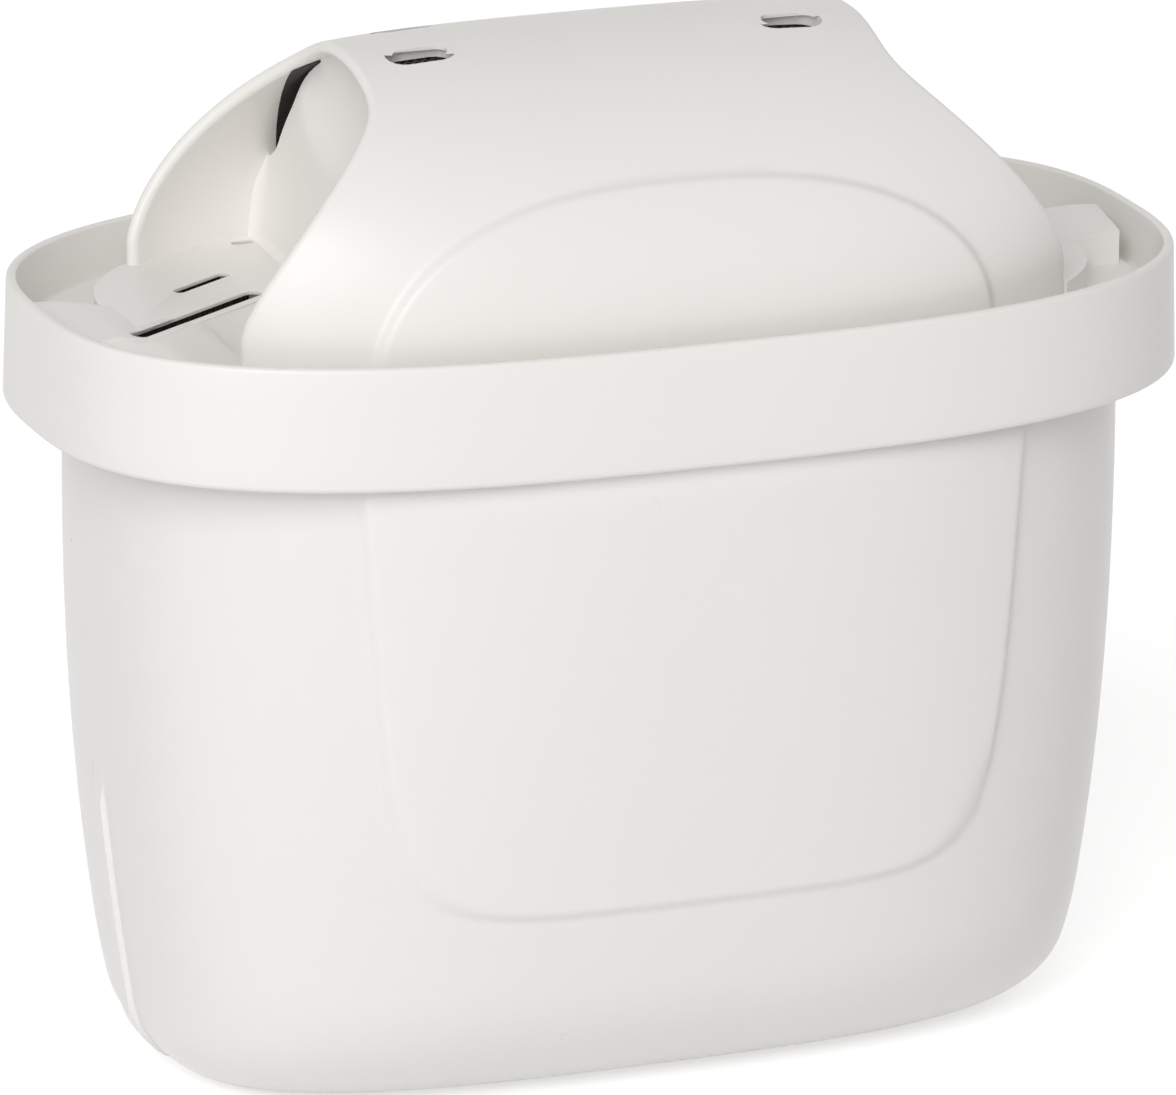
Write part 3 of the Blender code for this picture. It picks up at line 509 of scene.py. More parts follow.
def deck_inner_edge(turn):
    """The deck's inner edge: the middle of the dome's wall, or the floor's slanting edge in front of it.

    In the left end's front quarter each turn's point moves on from the oval to a corner path that runs
    back along the slanting edge, and then forward along the end wall's foot. The right end is the same.
    Under the tongue and the slot's lip it draws back from the start of the long slot."""
    def wall_middle(turn):
        return oval(turn, DOME_HALF_LENGTH - DOME_WALL / 2, DOME_HALF_WIDTH - DOME_WALL / 2, DOME_PLAN)

    x, y = wall_middle(turn)
    foot = WALL_FOOT - 1.2
    fine = np.linspace(np.pi, 1.5 * np.pi, 4001)
    fine_x, fine_y = wall_middle(fine)
    start = fine[np.argmin(np.abs(fine_y - edge_y(fine_x, DOME_WALL / 2)))]
    end = fine[np.argmin(np.abs(fine_x + foot))]
    start_x, start_y = wall_middle(start)
    end_x, end_y = wall_middle(end)
    corner = (-foot, edge_y(-foot, DOME_WALL / 2))
    for side in (0.0, np.pi):
        share = (turn - side - start) / (end - start)
        share = np.where(share < -0.5, (turn + 2 * np.pi - side - start) / (end - start), share)
        inside = (share > 0) & (share < 1)
        path_x = np.interp(share, (0, 0.6, 1), (start_x, corner[0], end_x))
        path_y = np.interp(share, (0, 0.6, 1), (start_y, corner[1], end_y))
        sign = 1.0 if side == 0.0 else -1.0
        x = np.where(inside, sign * path_x, x)
        y = np.where(inside, sign * path_y, y)
    near_slot = ease((1.9 - np.abs(np.abs(y) + LONG_SLOT[0][1])) / 0.8)
    near_slot = near_slot * (x * y > 0) * (np.abs(x) > 43.0)
    return x + 1.5 * near_slot * np.sign(x), y


def make_collar():
    """Collar, skirt and deck: one closed profile carried round ovals.

    The profile's outer points lie on the collar's oval, drawn in by their inset. Its inner points lie on
    the deck's inner edge, so the deck's width is what is left between the two."""
    outer = [
        arc((0.3 + 1.0, COLLAR_BOTTOM + 0.2), 0.2, 0, -90, 4),
        arc((COLLAR_EDGE, COLLAR_BOTTOM + COLLAR_EDGE), COLLAR_EDGE, 270, 180),
        np.array([[0.0, 63.5], [0.0, 66.5], [0.0, 69.5]]),
        arc((RIM_EDGE, COLLAR_TOP - RIM_EDGE), RIM_EDGE, 180, 90),
        arc((COLLAR_RIM - LIP_ROUND, COLLAR_TOP - LIP_ROUND), LIP_ROUND, 90, 0),
    ]
    outer = np.concatenate(outer)
    outer[:, 0] -= COLLAR_FLARE * (COLLAR_TOP - outer[:, 1]) / (COLLAR_TOP - COLLAR_BOTTOM)
    groove_share = np.linspace(0, 1, 11)
    groove_inset = COLLAR_WALL + GROOVE_WIDTH * ease(groove_share)
    groove_level = DECK_TOP - GROOVE_DEPTH * (1 - np.abs(2 * groove_share - 1) ** 3)
    outer = np.concatenate((outer, np.column_stack((groove_inset, groove_level))))
    sizes = (COLLAR_HALF_LENGTH, COLLAR_HALF_WIDTH, COLLAR_SQUARENESS)
    turn = turns_round(*sizes, lambda x, y: np.full(x.shape, 0.8))

    def ring(inset, level):
        x, y = oval(turn, COLLAR_HALF_LENGTH - inset, COLLAR_HALF_WIDTH - inset, COLLAR_SQUARENESS)
        return np.stack((x, y, np.broadcast_to(level, x.shape)), axis=-1)

    rows = [ring(outer[:, :1], outer[:, 1:])]
    deck_start = rows[0][-1]
    edge_x, edge_depth = deck_inner_edge(turn)
    deck_end = np.stack((edge_x, edge_depth, np.full(len(turn), DECK_TOP)), axis=-1)
    share = np.linspace(0, 1, 9)[1:, None, None]
    rows.append(deck_start[None] * (1 - share) + deck_end[None] * share)
    below = deck_end - (0, 0, DECK_TOP - DECK_UNDER)
    under, skirt = ring(COLLAR_WALL + 0.4, DECK_UNDER), ring(COLLAR_WALL, DECK_UNDER - 0.4)
    rows = np.concatenate(rows + [below[None], under[None], skirt[None]])
    loop = np.concatenate((rows, rows[:1]))
    return put_mesh("collar", loop.reshape(-1, 3), grid_quads(len(loop), len(turn), True))


def dome_sizes(height, inset):
    """The dome's half length and half width: each shrinks with a power of the height's share."""
    share = np.clip(height / (DOME_RISE - inset), 0.0, 1 - 1e-9)
    half_length = (DOME_HALF_LENGTH - inset) * (1 - share ** DOME_LENGTH_POWER) ** (1 / DOME_LENGTH_ROOT)
    half_width = (DOME_HALF_WIDTH - inset) * (1 - share ** DOME_WIDTH_POWER) ** (1 / DOME_WIDTH_POWER)
    return half_length, half_width


def dome_measure(x, y, height, inset=0.0):
    """How far out a point lies: 1 on the dome's form, which is a superellipse in plan."""
    half_length, half_width = dome_sizes(height, inset)
    return (np.abs(x) / half_length) ** DOME_PLAN + (np.abs(y) / half_width) ** DOME_PLAN


def dome_ray(x, angle, foot, inset=0.0):
    """Distance from the middle line at a foot height to the dome in the section at x, by halving."""
    low = np.zeros(np.broadcast(x, angle).shape)
    high = np.full(low.shape, 2 * DOME_HALF_WIDTH)
    for _ in range(40):
        middle = (low + high) / 2
        height = foot + middle * np.sin(angle)
        measure = dome_measure(x, middle * np.cos(angle), height, inset)
        inside = (measure < 1) & (height < DOME_RISE - inset)
        low = np.where(inside, middle, low)
        high = np.where(inside, high, middle)
    return low


def dome_side(x, height, inset):
    """Distance from the middle plane to the dome's broad wall at a height."""
    half_length, half_width = dome_sizes(height, inset)
    return half_width * (1 - np.clip(np.abs(x) / half_length, 0, 1) ** DOME_PLAN) ** (1 / DOME_PLAN)


def ridge_height(x, y):
    """Height of the dome over a point near the ridge, found by halving."""
    low, high = 0.0, DOME_RISE
    for _ in range(40):
        middle = (low + high) / 2
        low, high = (middle, high) if dome_measure(x, y, np.float64(middle)) < 1 else (low, middle)
    return low


def fin_edge(height):
    """How far the fins and the roof reach along the oval: a power curve in from the fins' foot."""
    share = np.clip(height / FIN_TOP, 0.0, 1.0)
    return smooth_max(FIN_FOOT - FIN_RUN * share ** FIN_CURVE, ROOF_END, ROOF_BLEND)


def settled_edge(angle, foot, side):
    """Where each turn over the dome meets the sloping edge at one end, and how much the edge slants there.

    The edge runs further out towards the front at the left end (side -1), and towards the back at the
    right end. x is drawn halfway to the edge curve's answer until it settles."""
    edge = np.full(angle.shape, 30.0)
    for _ in range(60):
        reach = dome_ray(edge, angle, foot)
        height, y = foot + reach * np.sin(angle), -reach * np.cos(angle)
        edge = (edge + fin_edge(height) + FIN_SKEW * (FIN_BACK_Y + side * y)) / 2
    along = np.hypot(np.gradient(y[:, 0]), np.gradient(height[:, 0]))
    run = np.gradient(edge[:, 0]) / np.maximum(along, 1e-9)
    return edge, np.sqrt(1 + run * run)[:, None]


def arch_share(x, height):
    """0 outside and 1 inside the arch panel, a superellipse that stands behind the collar."""
    side = np.abs(x) / ARCH_HALF_WIDTH + 1e-6
    up = np.abs(height - ARCH_CENTRE) / ARCH_RISE + 1e-6
    return inside_share(side, up, ARCH_HALF_WIDTH, ARCH_RISE, ARCH_SQUARENESS, ARCH_SOFT)


def grid_normals(points):
    """Unit normals of an open grid, from the cross product of its row and column directions."""
    across = np.gradient(points, axis=1)
    along = np.gradient(points, axis=0)
    normal = np.cross(across, along)
    return normal / np.maximum(np.linalg.norm(normal, axis=-1, keepdims=True), 1e-12)


def make_dome():
    """The dome and its fins as one shell.

    Rows turn over the dome from the front deck to the back one, and columns run between the two sloping
    edges, found by letting x settle on the edge curve. The face is drawn in towards the edges by a quarter
    circle of half the wall, and the back comes up to meet it, so that the rims are round."""
    foot = DECK_UNDER - COLLAR_TOP
    quarter = np.concatenate((np.linspace(0, 42, 62), np.linspace(42, 90, 34)[1:]))
    angle = np.radians(np.concatenate((quarter, 180 - quarter[-2::-1])))[:, None]
    rim = DOME_WALL / 2
    rim_steps = rim * (1 - np.cos(np.linspace(0, np.pi / 2, 8)))
    left, left_slant = settled_edge(angle, foot, -1.0)
    right, right_slant = settled_edge(angle, foot, 1.0)
    left_rim = -left + rim_steps[None, :] * left_slant
    right_rim = right - rim_steps[None, ::-1] * right_slant
    share = np.linspace(0, 1, 205)[1:-1]
    middle = left_rim[:, -1:] * (1 - share) + right_rim[:, :1] * share
    x = np.concatenate((left_rim, middle, right_rim), axis=1)
    from_edge = np.concatenate((rim_steps, np.full(len(share), rim), rim_steps[::-1]))[None, :]
    reach = dome_ray(x, angle, foot)
    height = foot + reach * np.sin(angle)
    points = np.stack((x, -reach * np.cos(angle), COLLAR_TOP + height), axis=-1)
    normal = grid_normals(points)
    outward = np.sign((normal * (points - (0, 0, COLLAR_TOP + foot))).sum(axis=-1, keepdims=True))
    normal = normal * outward
    draw = drawn_in(from_edge, rim)
    above_deck = points[..., 2] - DECK_TOP
    flare = np.where(above_deck > 0, drawn_in(above_deck, DOME_FILLET), DOME_FILLET)
    proud = PANEL_RISE * arch_share(x, height) + flare * (draw < 0.1) - draw
    face = points + normal * proud[..., None]
    back = points - normal * (DOME_WALL - draw)[..., None]
    face[[0, -1], :, 2] = DECK_UNDER
    back[[0, -1], :, 2] = DECK_UNDER
    dome = folded_shell("dome", face, back)
    slots = []
    under = COLLAR_TOP + DOME_RISE - 6.2
    for i, (x, y) in enumerate(RIDGE_SLOTS):
        start = x - (RIDGE_SLOT_LENGTH - RIDGE_SLOT_WIDTH) / 2
        place = ((start, y), RIDGE_SLOT_LENGTH, RIDGE_SLOT_WIDTH, 0.0)
        top = COLLAR_TOP + ridge_height(x, abs(y) - RIDGE_SLOT_WIDTH / 2) - RIDGE_EDGE
        slots.append(prism(f"ridge_slot_{i}", stadium(*place), "Z", under, COLLAR_TOP + DOME_RISE + 1.0))
        slots.append(prism(f"thin_edge_{i}", thinned(place, 0.7, 0.7), "Z", under, top))
    cut(dome, slots)
    return dome


def wall_x(y, level):
    """The left end wall's outer face: it leans in with height, and bows out less on the slit's side."""
    bow = np.where(y > 0, WALL_BOW_SLIT, WALL_BOW)
    return -(WALL_FOOT - WALL_LEAN * (level - FLOOR_TOP) - bow * (y / DOME_HALF_WIDTH) ** 2)


def dimple_depth(y, height):
    """How deep the finger dimple presses into the end wall: part of an ellipsoid that stands off it."""
    stand_off = DIMPLE_BALL - DIMPLE_DEPTH
    spread = math.sqrt(1 - (stand_off / DIMPLE_BALL) ** 2)
    across = ((y - DIMPLE_Y) * spread / DIMPLE_HALF_WIDTH) ** 2
    across = across + ((height - DIMPLE_HEIGHT) * spread / DIMPLE_HALF_HEIGHT) ** 2
    depth = DIMPLE_BALL * np.sqrt(np.clip(1 - across, 0.0, 1.0)) - stand_off
    return smooth_max(depth, 0.0, 0.3) - 0.01


def slit_edge(height):
    """Where the side slit's near edge is at a height. The slit is widest halfway up."""
    taper = ease((16.5 - height) / 5.0) * ease(0.35 + (height - SLIT_LOW) / 2.0)
    return dome_side(SLIT_X, height, DOME_WALL) - SLIT_LEAST - SLIT_WIDENS * taper


def make_end_wall():
    """The left end wall: a fan of rays from the floor's middle to inside the dome's wall.

    Its face flares out to the fins, the roof and the floor by quarter circles, and the dimple presses in.
    Beside the slit the flare to the fin dies away, and a closed prism cuts the slit."""
    foot = FLOOR_TOP - WALL_FOOT_ROUND - COLLAR_TOP
    quarter = steps_along(0.0, 90.0, lambda degrees: np.where(degrees < 6.0, 0.4, 1.1))
    angle = np.radians(np.concatenate((quarter, 180 - quarter[-2::-1])))[:, None]
    near = dome_ray(np.full(angle.shape, SLIT_X), angle, foot, DOME_WALL)
    for _ in range(12):
        at_x = wall_x(near * np.cos(angle), COLLAR_TOP + foot + near * np.sin(angle))
        near = dome_ray(at_x, angle, foot, DOME_WALL)
    rim_steps = 0.14 * (1 - np.sin(np.linspace(0, np.pi / 2, 18)[1:]))
    from_side = np.concatenate((np.linspace(1, 0.14, 34), rim_steps))[None, :]
    reach = near * (1 - from_side)
    reach = np.concatenate((reach, near + 0.3, near + 0.65), axis=1)
    y = reach * np.cos(angle)
    height = foot + reach * np.sin(angle)
    level = COLLAR_TOP + height
    beside_slit = ease((height - SLIT_LOW + 3.5) / 3.5) * (y > 0)
    under_roof = ease((height - 16) / 3) * (y <= 0)
    radius = CORNER_ROUND - CORNER_LOST_AT_SLIT * beside_slit - CORNER_LOST_AT_ROOF * under_roof
    side = CORNER_SHARE * drawn_in(np.maximum(near - reach, 0.0), radius)
    floor = drawn_in(np.maximum(level - FLOOR_TOP, 0.0), WALL_FOOT_ROUND)
    flare = np.maximum(side, floor)
    x = wall_x(y, level)
    face = np.stack((x - flare + dimple_depth(y, height), y, level), axis=-1)
    back = np.stack((x + DOME_WALL + dimple_depth(y, height), y, level), axis=-1)
    wall = folded_shell("end_wall_left", face, back)
    heights = np.linspace(SLIT_HIGH, SLIT_LOW, 15)
    outer = np.column_stack((dome_side(SLIT_X, heights, DOME_WALL - 0.4), COLLAR_TOP + heights))
    inner = np.column_stack((slit_edge(heights[::-1]), COLLAR_TOP + heights[::-1]))
    cut(wall, [prism("slit_left", np.concatenate((inner, outer)), "X", -25.6, -17.0)])
    return wall


def make_slit_painted_shade_sieve():
    """A near-black sieve that lines the dome's inner face behind the left side slit: its colour is painted
    shade for the dark inside seen through the slit.

    A patch that runs with the inner face. Its rows are heights, and its outer edge leans out with them."""
    share = np.linspace(0, 1, 14)[None, :]
    top = 16.2 + 1.6 * np.minimum(share * 2.5, 1.0)
    height = SLIT_LOW + 0.1 + (top - SLIT_LOW - 0.1) * np.linspace(0, 1, 24)[:, None]
    first = -22.8 - 0.2 * (height - 7.1)
    x = first * (1 - share) - 18.5 * share
    level = COLLAR_TOP + height
    back = np.stack((x, dome_side(x, height, DOME_WALL - 0.2), level), axis=-1)
    face = np.stack((x, dome_side(x, height, DOME_WALL + 0.12), level), axis=-1)
    return folded_shell("slit_sieve_left", face, back)


def floor_outline(back, edge_back):
    """The left recess floor in plan, drawn in by a wall: along the fin, round the dome's oval to the
    slanting edge, back along that edge, and along the middle of the end wall."""
    fin = np.linspace(WALL_FOOT - WALL_BOW + back, FIN_FOOT - 0.6, 30)
    fin_y = dome_side(fin, -1.0, DOME_WALL / 2 + 0.5 * back)
    turn = np.linspace(np.pi / 2, 1.5 * np.pi, 400)
    oval_x, oval_y = oval(turn, DOME_HALF_LENGTH - back, DOME_HALF_WIDTH - back, DOME_PLAN)
    beyond = (oval_x < -FIN_FOOT) & (oval_y > edge_y(oval_x, edge_back))
    foot_y = np.linspace(edge_y(-WALL_FOOT + 1.0, edge_back), fin_y[0] - 0.5, 12)
    return np.concatenate((
        np.column_stack((-fin, fin_y)),
        np.column_stack((oval_x[beyond], oval_y[beyond]))[::3],
        np.column_stack((wall_x(foot_y, FLOOR_TOP) + DOME_WALL / 2 - back, foot_y)),
    ))


def round_edges(piece, width):
    """Round a piece's edges over by a width."""
    bevel = piece.modifiers.new("soft_edges", "BEVEL")
    bevel.width = width * MM
    bevel.segments = 3
    bevel.limit_method = "ANGLE"
    bevel.angle_limit = math.radians(35)
    bake(piece, 35.0)


def soft_block(name, outline, bottom, top, width, tools):
    """A plan outline stood up between two levels, cut by closed tools, with its edges rounded over."""
    block = prism(name, outline, "Z", bottom, top)
    cut(block, tools)
    round_edges(block, width)
    return block


def make_recess_floor():
    """The left recess floor, hollow below, with its slots, and the lip round the long slot's start."""
    outline = floor_outline(DOME_WALL, FLOOR_EDGE_WALL)
    space = prism("floor_space", outline, "Z", DECK_UNDER - 1.0, FLOOR_UNDER)
    tools = [space, through(LONG_SLOT), through(SHORT_SLOT), through(CORNER_SLOT), undercut(LONG_SLOT)]
    tools += [undercut(SHORT_SLOT), undercut(CORNER_SLOT, CORNER_UNDERCUT_FAR)]
    outline = floor_outline(0.0, 0.0)
    floor = soft_block("recess_floor_left", outline, DECK_UNDER + 0.4, FLOOR_TOP, 0.12, tools)
    tools = [through(LONG_SLOT), undercut(LONG_SLOT)]
    lip = soft_block("slot_lip_left", stadium(*LIP_OUTLINE), DECK_UNDER + 0.8, LIP_TOP, 0.15, tools)
    return [floor, lip]


def through(place):
    """A tool that cuts a slot through the floor."""
    return prism("through", stadium(*place), "Z", DECK_UNDER - 1.5, FLOOR_TOP + 1.0)


def undercut(place, far=UNDERCUT_FAR):
    """A tool that thins the floor's edge round a slot from below, and more on the slot's far side."""
    outline = thinned(place, far, UNDERCUT_NEAR)
    return prism("undercut", outline, "Z", DECK_UNDER - 1.0, FLOOR_TOP - THIN_EDGE)


def make_tongue(name, outline, fall):
    """A tongue over the left deck: a slab that ramps down into the floor along X.

    Its top is a grid whose level is the ramp's, less what it falls towards the front and the outer end."""
    x = np.linspace(-52.0, -41.9, 40)[:, None]
    y = np.linspace(-8.0, 8.0, 30)[None, :]
    level = TONGUE_TOP - (TONGUE_TOP - FLOOR_TOP + RAMP_DIP) * ease((x - RAMP_START) / RAMP_RUN)
    level = level + fall * (y - FALL_FROM_Y) * (1 - ease((x - FALL_FROM_X) / FALL_RUN))
    plan = np.stack(np.broadcast_arrays(x, y), axis=-1)
    low = np.full(level.shape, DECK_UNDER + 0.6)
    face = np.concatenate((plan, level[..., None]), axis=-1)
    back = np.concatenate((plan, low[..., None]), axis=-1)
    tongue = folded_shell(name, face, back)
    cut(tongue, [prism("tongue_plan", outline, "Z", DECK_UNDER, TONGUE_TOP + 1.0)], "INTERSECT")
    cut(tongue, [through(LONG_SLOT), undercut(LONG_SLOT)])
    round_edges(tongue, 0.3)
    return tongue


def beside_slot(along, across):
    """A place given along the long slot from its first centre, and across it towards the front."""
    (x, y), cosine, sine = LONG_SLOT[0], math.cos(SLOT_TURN), math.sin(SLOT_TURN)
    return x + along * cosine + across * sine, y + along * sine - across * cosine


def make_apron(name, first):
    """The slope from the front edge of the tongue, the lip and the left floor down to the deck.

    Rows follow that edge, from its first knots (x, y, level) to the end wall. Each row runs out to the
    front, and its level falls from the edge's own to the deck's along a smooth S."""
    run = np.linspace(0, 1, 20)[None, :]
    out = run * APRON_RUN
    plans = [(x + 0.2 * out, y - 0.98 * out) for x, y, _ in first]
    plans += [beside_slot(along, across + out) for along, across, _ in APRON_KNOTS]
    away = APRON_BACK + out
    to_wall = (LONG_SLOT[0][0] + APRON_WALL_X + away * math.sin(SLOT_TURN)) / -math.cos(SLOT_TURN)
    plans.append(beside_slot(to_wall, away))
    tops = [knot[2] for knot in first + APRON_KNOTS] + [APRON_LEVEL]
    knots = np.stack([np.concatenate(places) for places in zip(*plans)], axis=-1)
    row = np.linspace(0, len(tops) - 1, 6 * len(tops) - 5)
    before = np.minimum(row.astype(int), len(tops) - 2)
    share = (row - before)[:, None, None]
    plan = knots[before] * (1 - share) + knots[before + 1] * share
    top = np.interp(row, np.arange(len(tops)), tops)[:, None]
    level = top - (top - APRON_FOOT) * ease(run)
    face = np.concatenate((plan, level[..., None]), axis=-1)
    back = np.concatenate((plan, np.full(level.shape, DECK_TOP - 0.5)[..., None]), axis=-1)
    return folded_shell(name, face, back)


def make_slot_painted_shade_sieve(name, place, low):
    """A near-black sieve that stands behind a slot of the left floor, under the slot's far edge: its
    colour is painted shade for the dark seen down the slot.
    """
    (x, y), length, width, turn = place
    back = width / 2 + PAINTED_SHADE_BACK
    start = (x - back * math.sin(turn), y + back * math.cos(turn))
    outline = stadium(start, length + PAINTED_SHADE_EXTRA, PAINTED_SHADE_WIDTH, turn)
    return prism(name, outline, "Z", low, FLOOR_TOP - THIN_EDGE - 0.05)


# Finishes

VECTOR = "NodeSocketVector"
COLOUR = "NodeSocketColor"
NUMBER = "NodeSocketFloat"

CREAM = (0.89, 0.876, 0.848)
CREAM_SHADE = (0.86, 0.842, 0.808)
MILKY = (0.89, 0.873, 0.853)
MILKY_SHADE = (0.865, 0.845, 0.815)


def new_group(name, inputs, outputs):
    """An empty shader node group with named sockets, and its two end nodes."""
    group = bpy.data.node_groups.new(name, "ShaderNodeTree")
    for label, kind, value in inputs:
        socket = group.interface.new_socket(label, in_out="INPUT", socket_type=kind)
        if value is not None:
            socket.default_value = value
    for label, kind in outputs:
        group.interface.new_socket(label, in_out="OUTPUT", socket_type=kind)
    return group, group.nodes.new("NodeGroupInput"), group.nodes.new("NodeGroupOutput")


def math_node(tree, operation, first, second, third=None):
    """A math node whose inputs are numbers or sockets."""
    node = tree.nodes.new("ShaderNodeMath")
    node.operation = operation
    for i, value in enumerate((first, second, third)):
        if value is None:
            continue
        if isinstance(value, (int, float)):
            node.inputs[i].default_value = value
        else:
            tree.links.new(value, node.inputs[i])
    return node.outputs[0]


def noise_node(tree, vector, scale, detail=2.0, roughness=0.5):
    """A noise texture, its scale a number or a socket."""
    node = tree.nodes.new("ShaderNodeTexNoise")
    node.inputs["Detail"].default_value = detail
    node.inputs["Roughness"].default_value = roughness
    tree.links.new(vector, node.inputs["Vector"])
    if isinstance(scale, (int, float)):
        node.inputs["Scale"].default_value = scale
    else:
        tree.links.new(scale, node.inputs["Scale"])
    return node


def mix_colour(tree, share, first, second):
    """A colour between two, each a socket or a triple."""
    node = tree.nodes.new("ShaderNodeMix")
    node.data_type = "RGBA"
    for label, value in (("Factor", share), ("A", first), ("B", second)):
        sockets = [s for s in node.inputs if s.name == label and s.enabled]
        socket = sockets[0]
        if isinstance(value, (int, float)):
            socket.default_value = value
        elif isinstance(value, tuple):
            socket.default_value = (*value, 1.0)
        else:
            tree.links.new(value, socket)
    return [s for s in node.outputs if s.enabled][0]


def make_moulded_group():
    """Moulded plastic: a slow tint that runs with the melt, a fine dull grain, and rubbed patches."""
    inputs = (
        ("Vector", VECTOR, None),
        ("Colour", COLOUR, (0.8, 0.8, 0.8, 1.0)),
        ("Shade", COLOUR, (0.7, 0.7, 0.7, 1.0)),
        ("Shade Amount", NUMBER, 0.4),
        ("Roughness", NUMBER, 0.4),
        ("Roughness Spread", NUMBER, 0.1),
        ("Grain Scale", NUMBER, 900.0),
    )
    outputs = (("Colour", COLOUR), ("Roughness", NUMBER), ("Height", NUMBER))
    group, entry, leave = new_group("moulded_plastic", inputs, outputs)
    stretch = group.nodes.new("ShaderNodeMapping")
    stretch.inputs["Scale"].default_value = (1.0, 1.0, 0.22)
    group.links.new(entry.outputs["Vector"], stretch.inputs["Vector"])
    flow = noise_node(group, stretch.outputs["Vector"], 70.0, 3.0, 0.55)
    cloud = noise_node(group, entry.outputs["Vector"], 24.0, 2.0)
    both = math_node(group, "ADD", flow.outputs["Fac"], cloud.outputs["Fac"])
    share = math_node(group, "MULTIPLY_ADD", both, 1.6, -1.1)
    share = math_node(group, "MINIMUM", math_node(group, "MAXIMUM", share, 0.0), 1.0)
    share = math_node(group, "MULTIPLY", share, entry.outputs["Shade Amount"])
    colour = mix_colour(group, share, entry.outputs["Colour"], entry.outputs["Shade"])
    rub = noise_node(group, entry.outputs["Vector"], 130.0, 4.0, 0.6)
    swing = math_node(group, "SUBTRACT", rub.outputs["Fac"], 0.5)
    swing = math_node(group, "MULTIPLY", swing, entry.outputs["Roughness Spread"])
    roughness = math_node(group, "ADD", entry.outputs["Roughness"], swing)
    grain = noise_node(group, entry.outputs["Vector"], entry.outputs["Grain Scale"], 2.0)
    ripple = noise_node(group, entry.outputs["Vector"], 60.0, 1.0)
    height = math_node(group, "MULTIPLY_ADD", ripple.outputs["Fac"], 0.6, grain.outputs["Fac"])
    group.links.new(colour, leave.inputs["Colour"])
    group.links.new(roughness, leave.inputs["Roughness"])
    group.links.new(height, leave.inputs["Height"])
    return group


def make_sieve_group():
    """A fine woven or pierced sheet: open squares between threads, as a mask over two directions."""
    inputs = (
        ("Vector", VECTOR, None),
        ("Threads", NUMBER, 1600.0),
        ("Open Share", NUMBER, 0.62),
    )
    outputs = (("Solid", NUMBER), ("Height", NUMBER))
    group, entry, leave = new_group("sieve_weave", inputs, outputs)
    parts = group.nodes.new("ShaderNodeSeparateXYZ")
    group.links.new(entry.outputs["Vector"], parts.inputs[0])
    threads = []
    for label in ("X", "Y"):
        across = math_node(group, "MULTIPLY", parts.outputs[label], entry.outputs["Threads"])
        place = math_node(group, "FRACT", across, None)
        threads.append(math_node(group, "ABSOLUTE", math_node(group, "SUBTRACT", place, 0.5), None))
    widest = math_node(group, "MAXIMUM", threads[0], threads[1])
    half_open = math_node(group, "MULTIPLY", entry.outputs["Open Share"], 0.5)
    solid = math_node(group, "GREATER_THAN", widest, half_open)
    group.links.new(solid, leave.inputs["Solid"])
    group.links.new(widest, leave.inputs["Height"])
    return group


def make_grains_group():
    """Packed grains: cells of random colour, most of them dark, with the height of each cell's bead."""
    inputs = (
        ("Vector", VECTOR, None),
        ("Dark", COLOUR, (0.03, 0.03, 0.03, 1.0)),
        ("Pale", COLOUR, (0.45, 0.40, 0.30, 1.0)),
        ("Grain Scale", NUMBER, 1100.0),
        ("Pale Share", NUMBER, 0.25),
    )
    outputs = (("Colour", COLOUR), ("Height", NUMBER))
    group, entry, leave = new_group("packed_grains", inputs, outputs)
    cells = group.nodes.new("ShaderNodeTexVoronoi")
    group.links.new(entry.outputs["Vector"], cells.inputs["Vector"])
    group.links.new(entry.outputs["Grain Scale"], cells.inputs["Scale"])
    parts = group.nodes.new("ShaderNodeSeparateColor")
    group.links.new(cells.outputs["Color"], parts.inputs[0])
    pale = math_node(group, "LESS_THAN", parts.outputs["Red"], entry.outputs["Pale Share"])
    tone = math_node(group, "MULTIPLY_ADD", parts.outputs["Green"], 0.5, 0.5)
    tone = math_node(group, "MULTIPLY", pale, tone)
    colour = mix_colour(group, tone, entry.outputs["Dark"], entry.outputs["Pale"])
    height = math_node(group, "SUBTRACT", 1.0, cells.outputs["Distance"])
    group.links.new(colour, leave.inputs["Colour"])
    group.links.new(height, leave.inputs["Height"])
    return group


def new_material(name):
    """An empty node material with its Principled shader and its object coordinates."""
    material = bpy.data.materials.new(name)
    material.use_nodes = True
    tree = material.node_tree
    coordinates = tree.nodes.new("ShaderNodeTexCoord")
    return material, tree, tree.nodes["Principled BSDF"], coordinates.outputs["Object"]


def place_group(tree, group, values):
    """A group node in a material, with its values set or linked."""
    node = tree.nodes.new("ShaderNodeGroup")
    node.node_tree = group
    for label, value in values.items():
        if isinstance(value, bpy.types.NodeSocket):
            tree.links.new(value, node.inputs[label])
        elif isinstance(value, tuple):
            node.inputs[label].default_value = (*value, 1.0)
        else:
            node.inputs[label].default_value = value
    return node


def add_bump(tree, shader, height, strength, distance):
    """Bump from a height, into the shader's normal."""
    bump = tree.nodes.new("ShaderNodeBump")
    bump.inputs["Strength"].default_value = strength
    bump.inputs["Distance"].default_value = distance
    tree.links.new(height, bump.inputs["Height"])
    tree.links.new(bump.outputs["Normal"], shader.inputs["Normal"])


def moulded_material(name, group, colour, shade, roughness, soft):
    """Moulded plastic that lets a little light in, deeper where soft is greater."""
    material, tree, shader, place = new_material(name)
    values = {
        "Vector": place, "Colour": colour, "Shade": shade, "Shade Amount": 0.35,
        "Roughness": roughness, "Roughness Spread": 0.12, "Grain Scale": 1400.0,
    }
    node = place_group(tree, group, values)
    tree.links.new(node.outputs["Colour"], shader.inputs["Base Color"])
    tree.links.new(node.outputs["Roughness"], shader.inputs["Roughness"])
    add_bump(tree, shader, node.outputs["Height"], 0.25, 0.00004)
    shader.inputs["IOR"].default_value = 1.49
    shader.inputs["Subsurface Weight"].default_value = soft
    shader.inputs["Subsurface Radius"].default_value = (1.0, 0.9, 0.8)
    shader.inputs["Subsurface Scale"].default_value = 0.0025
    return material


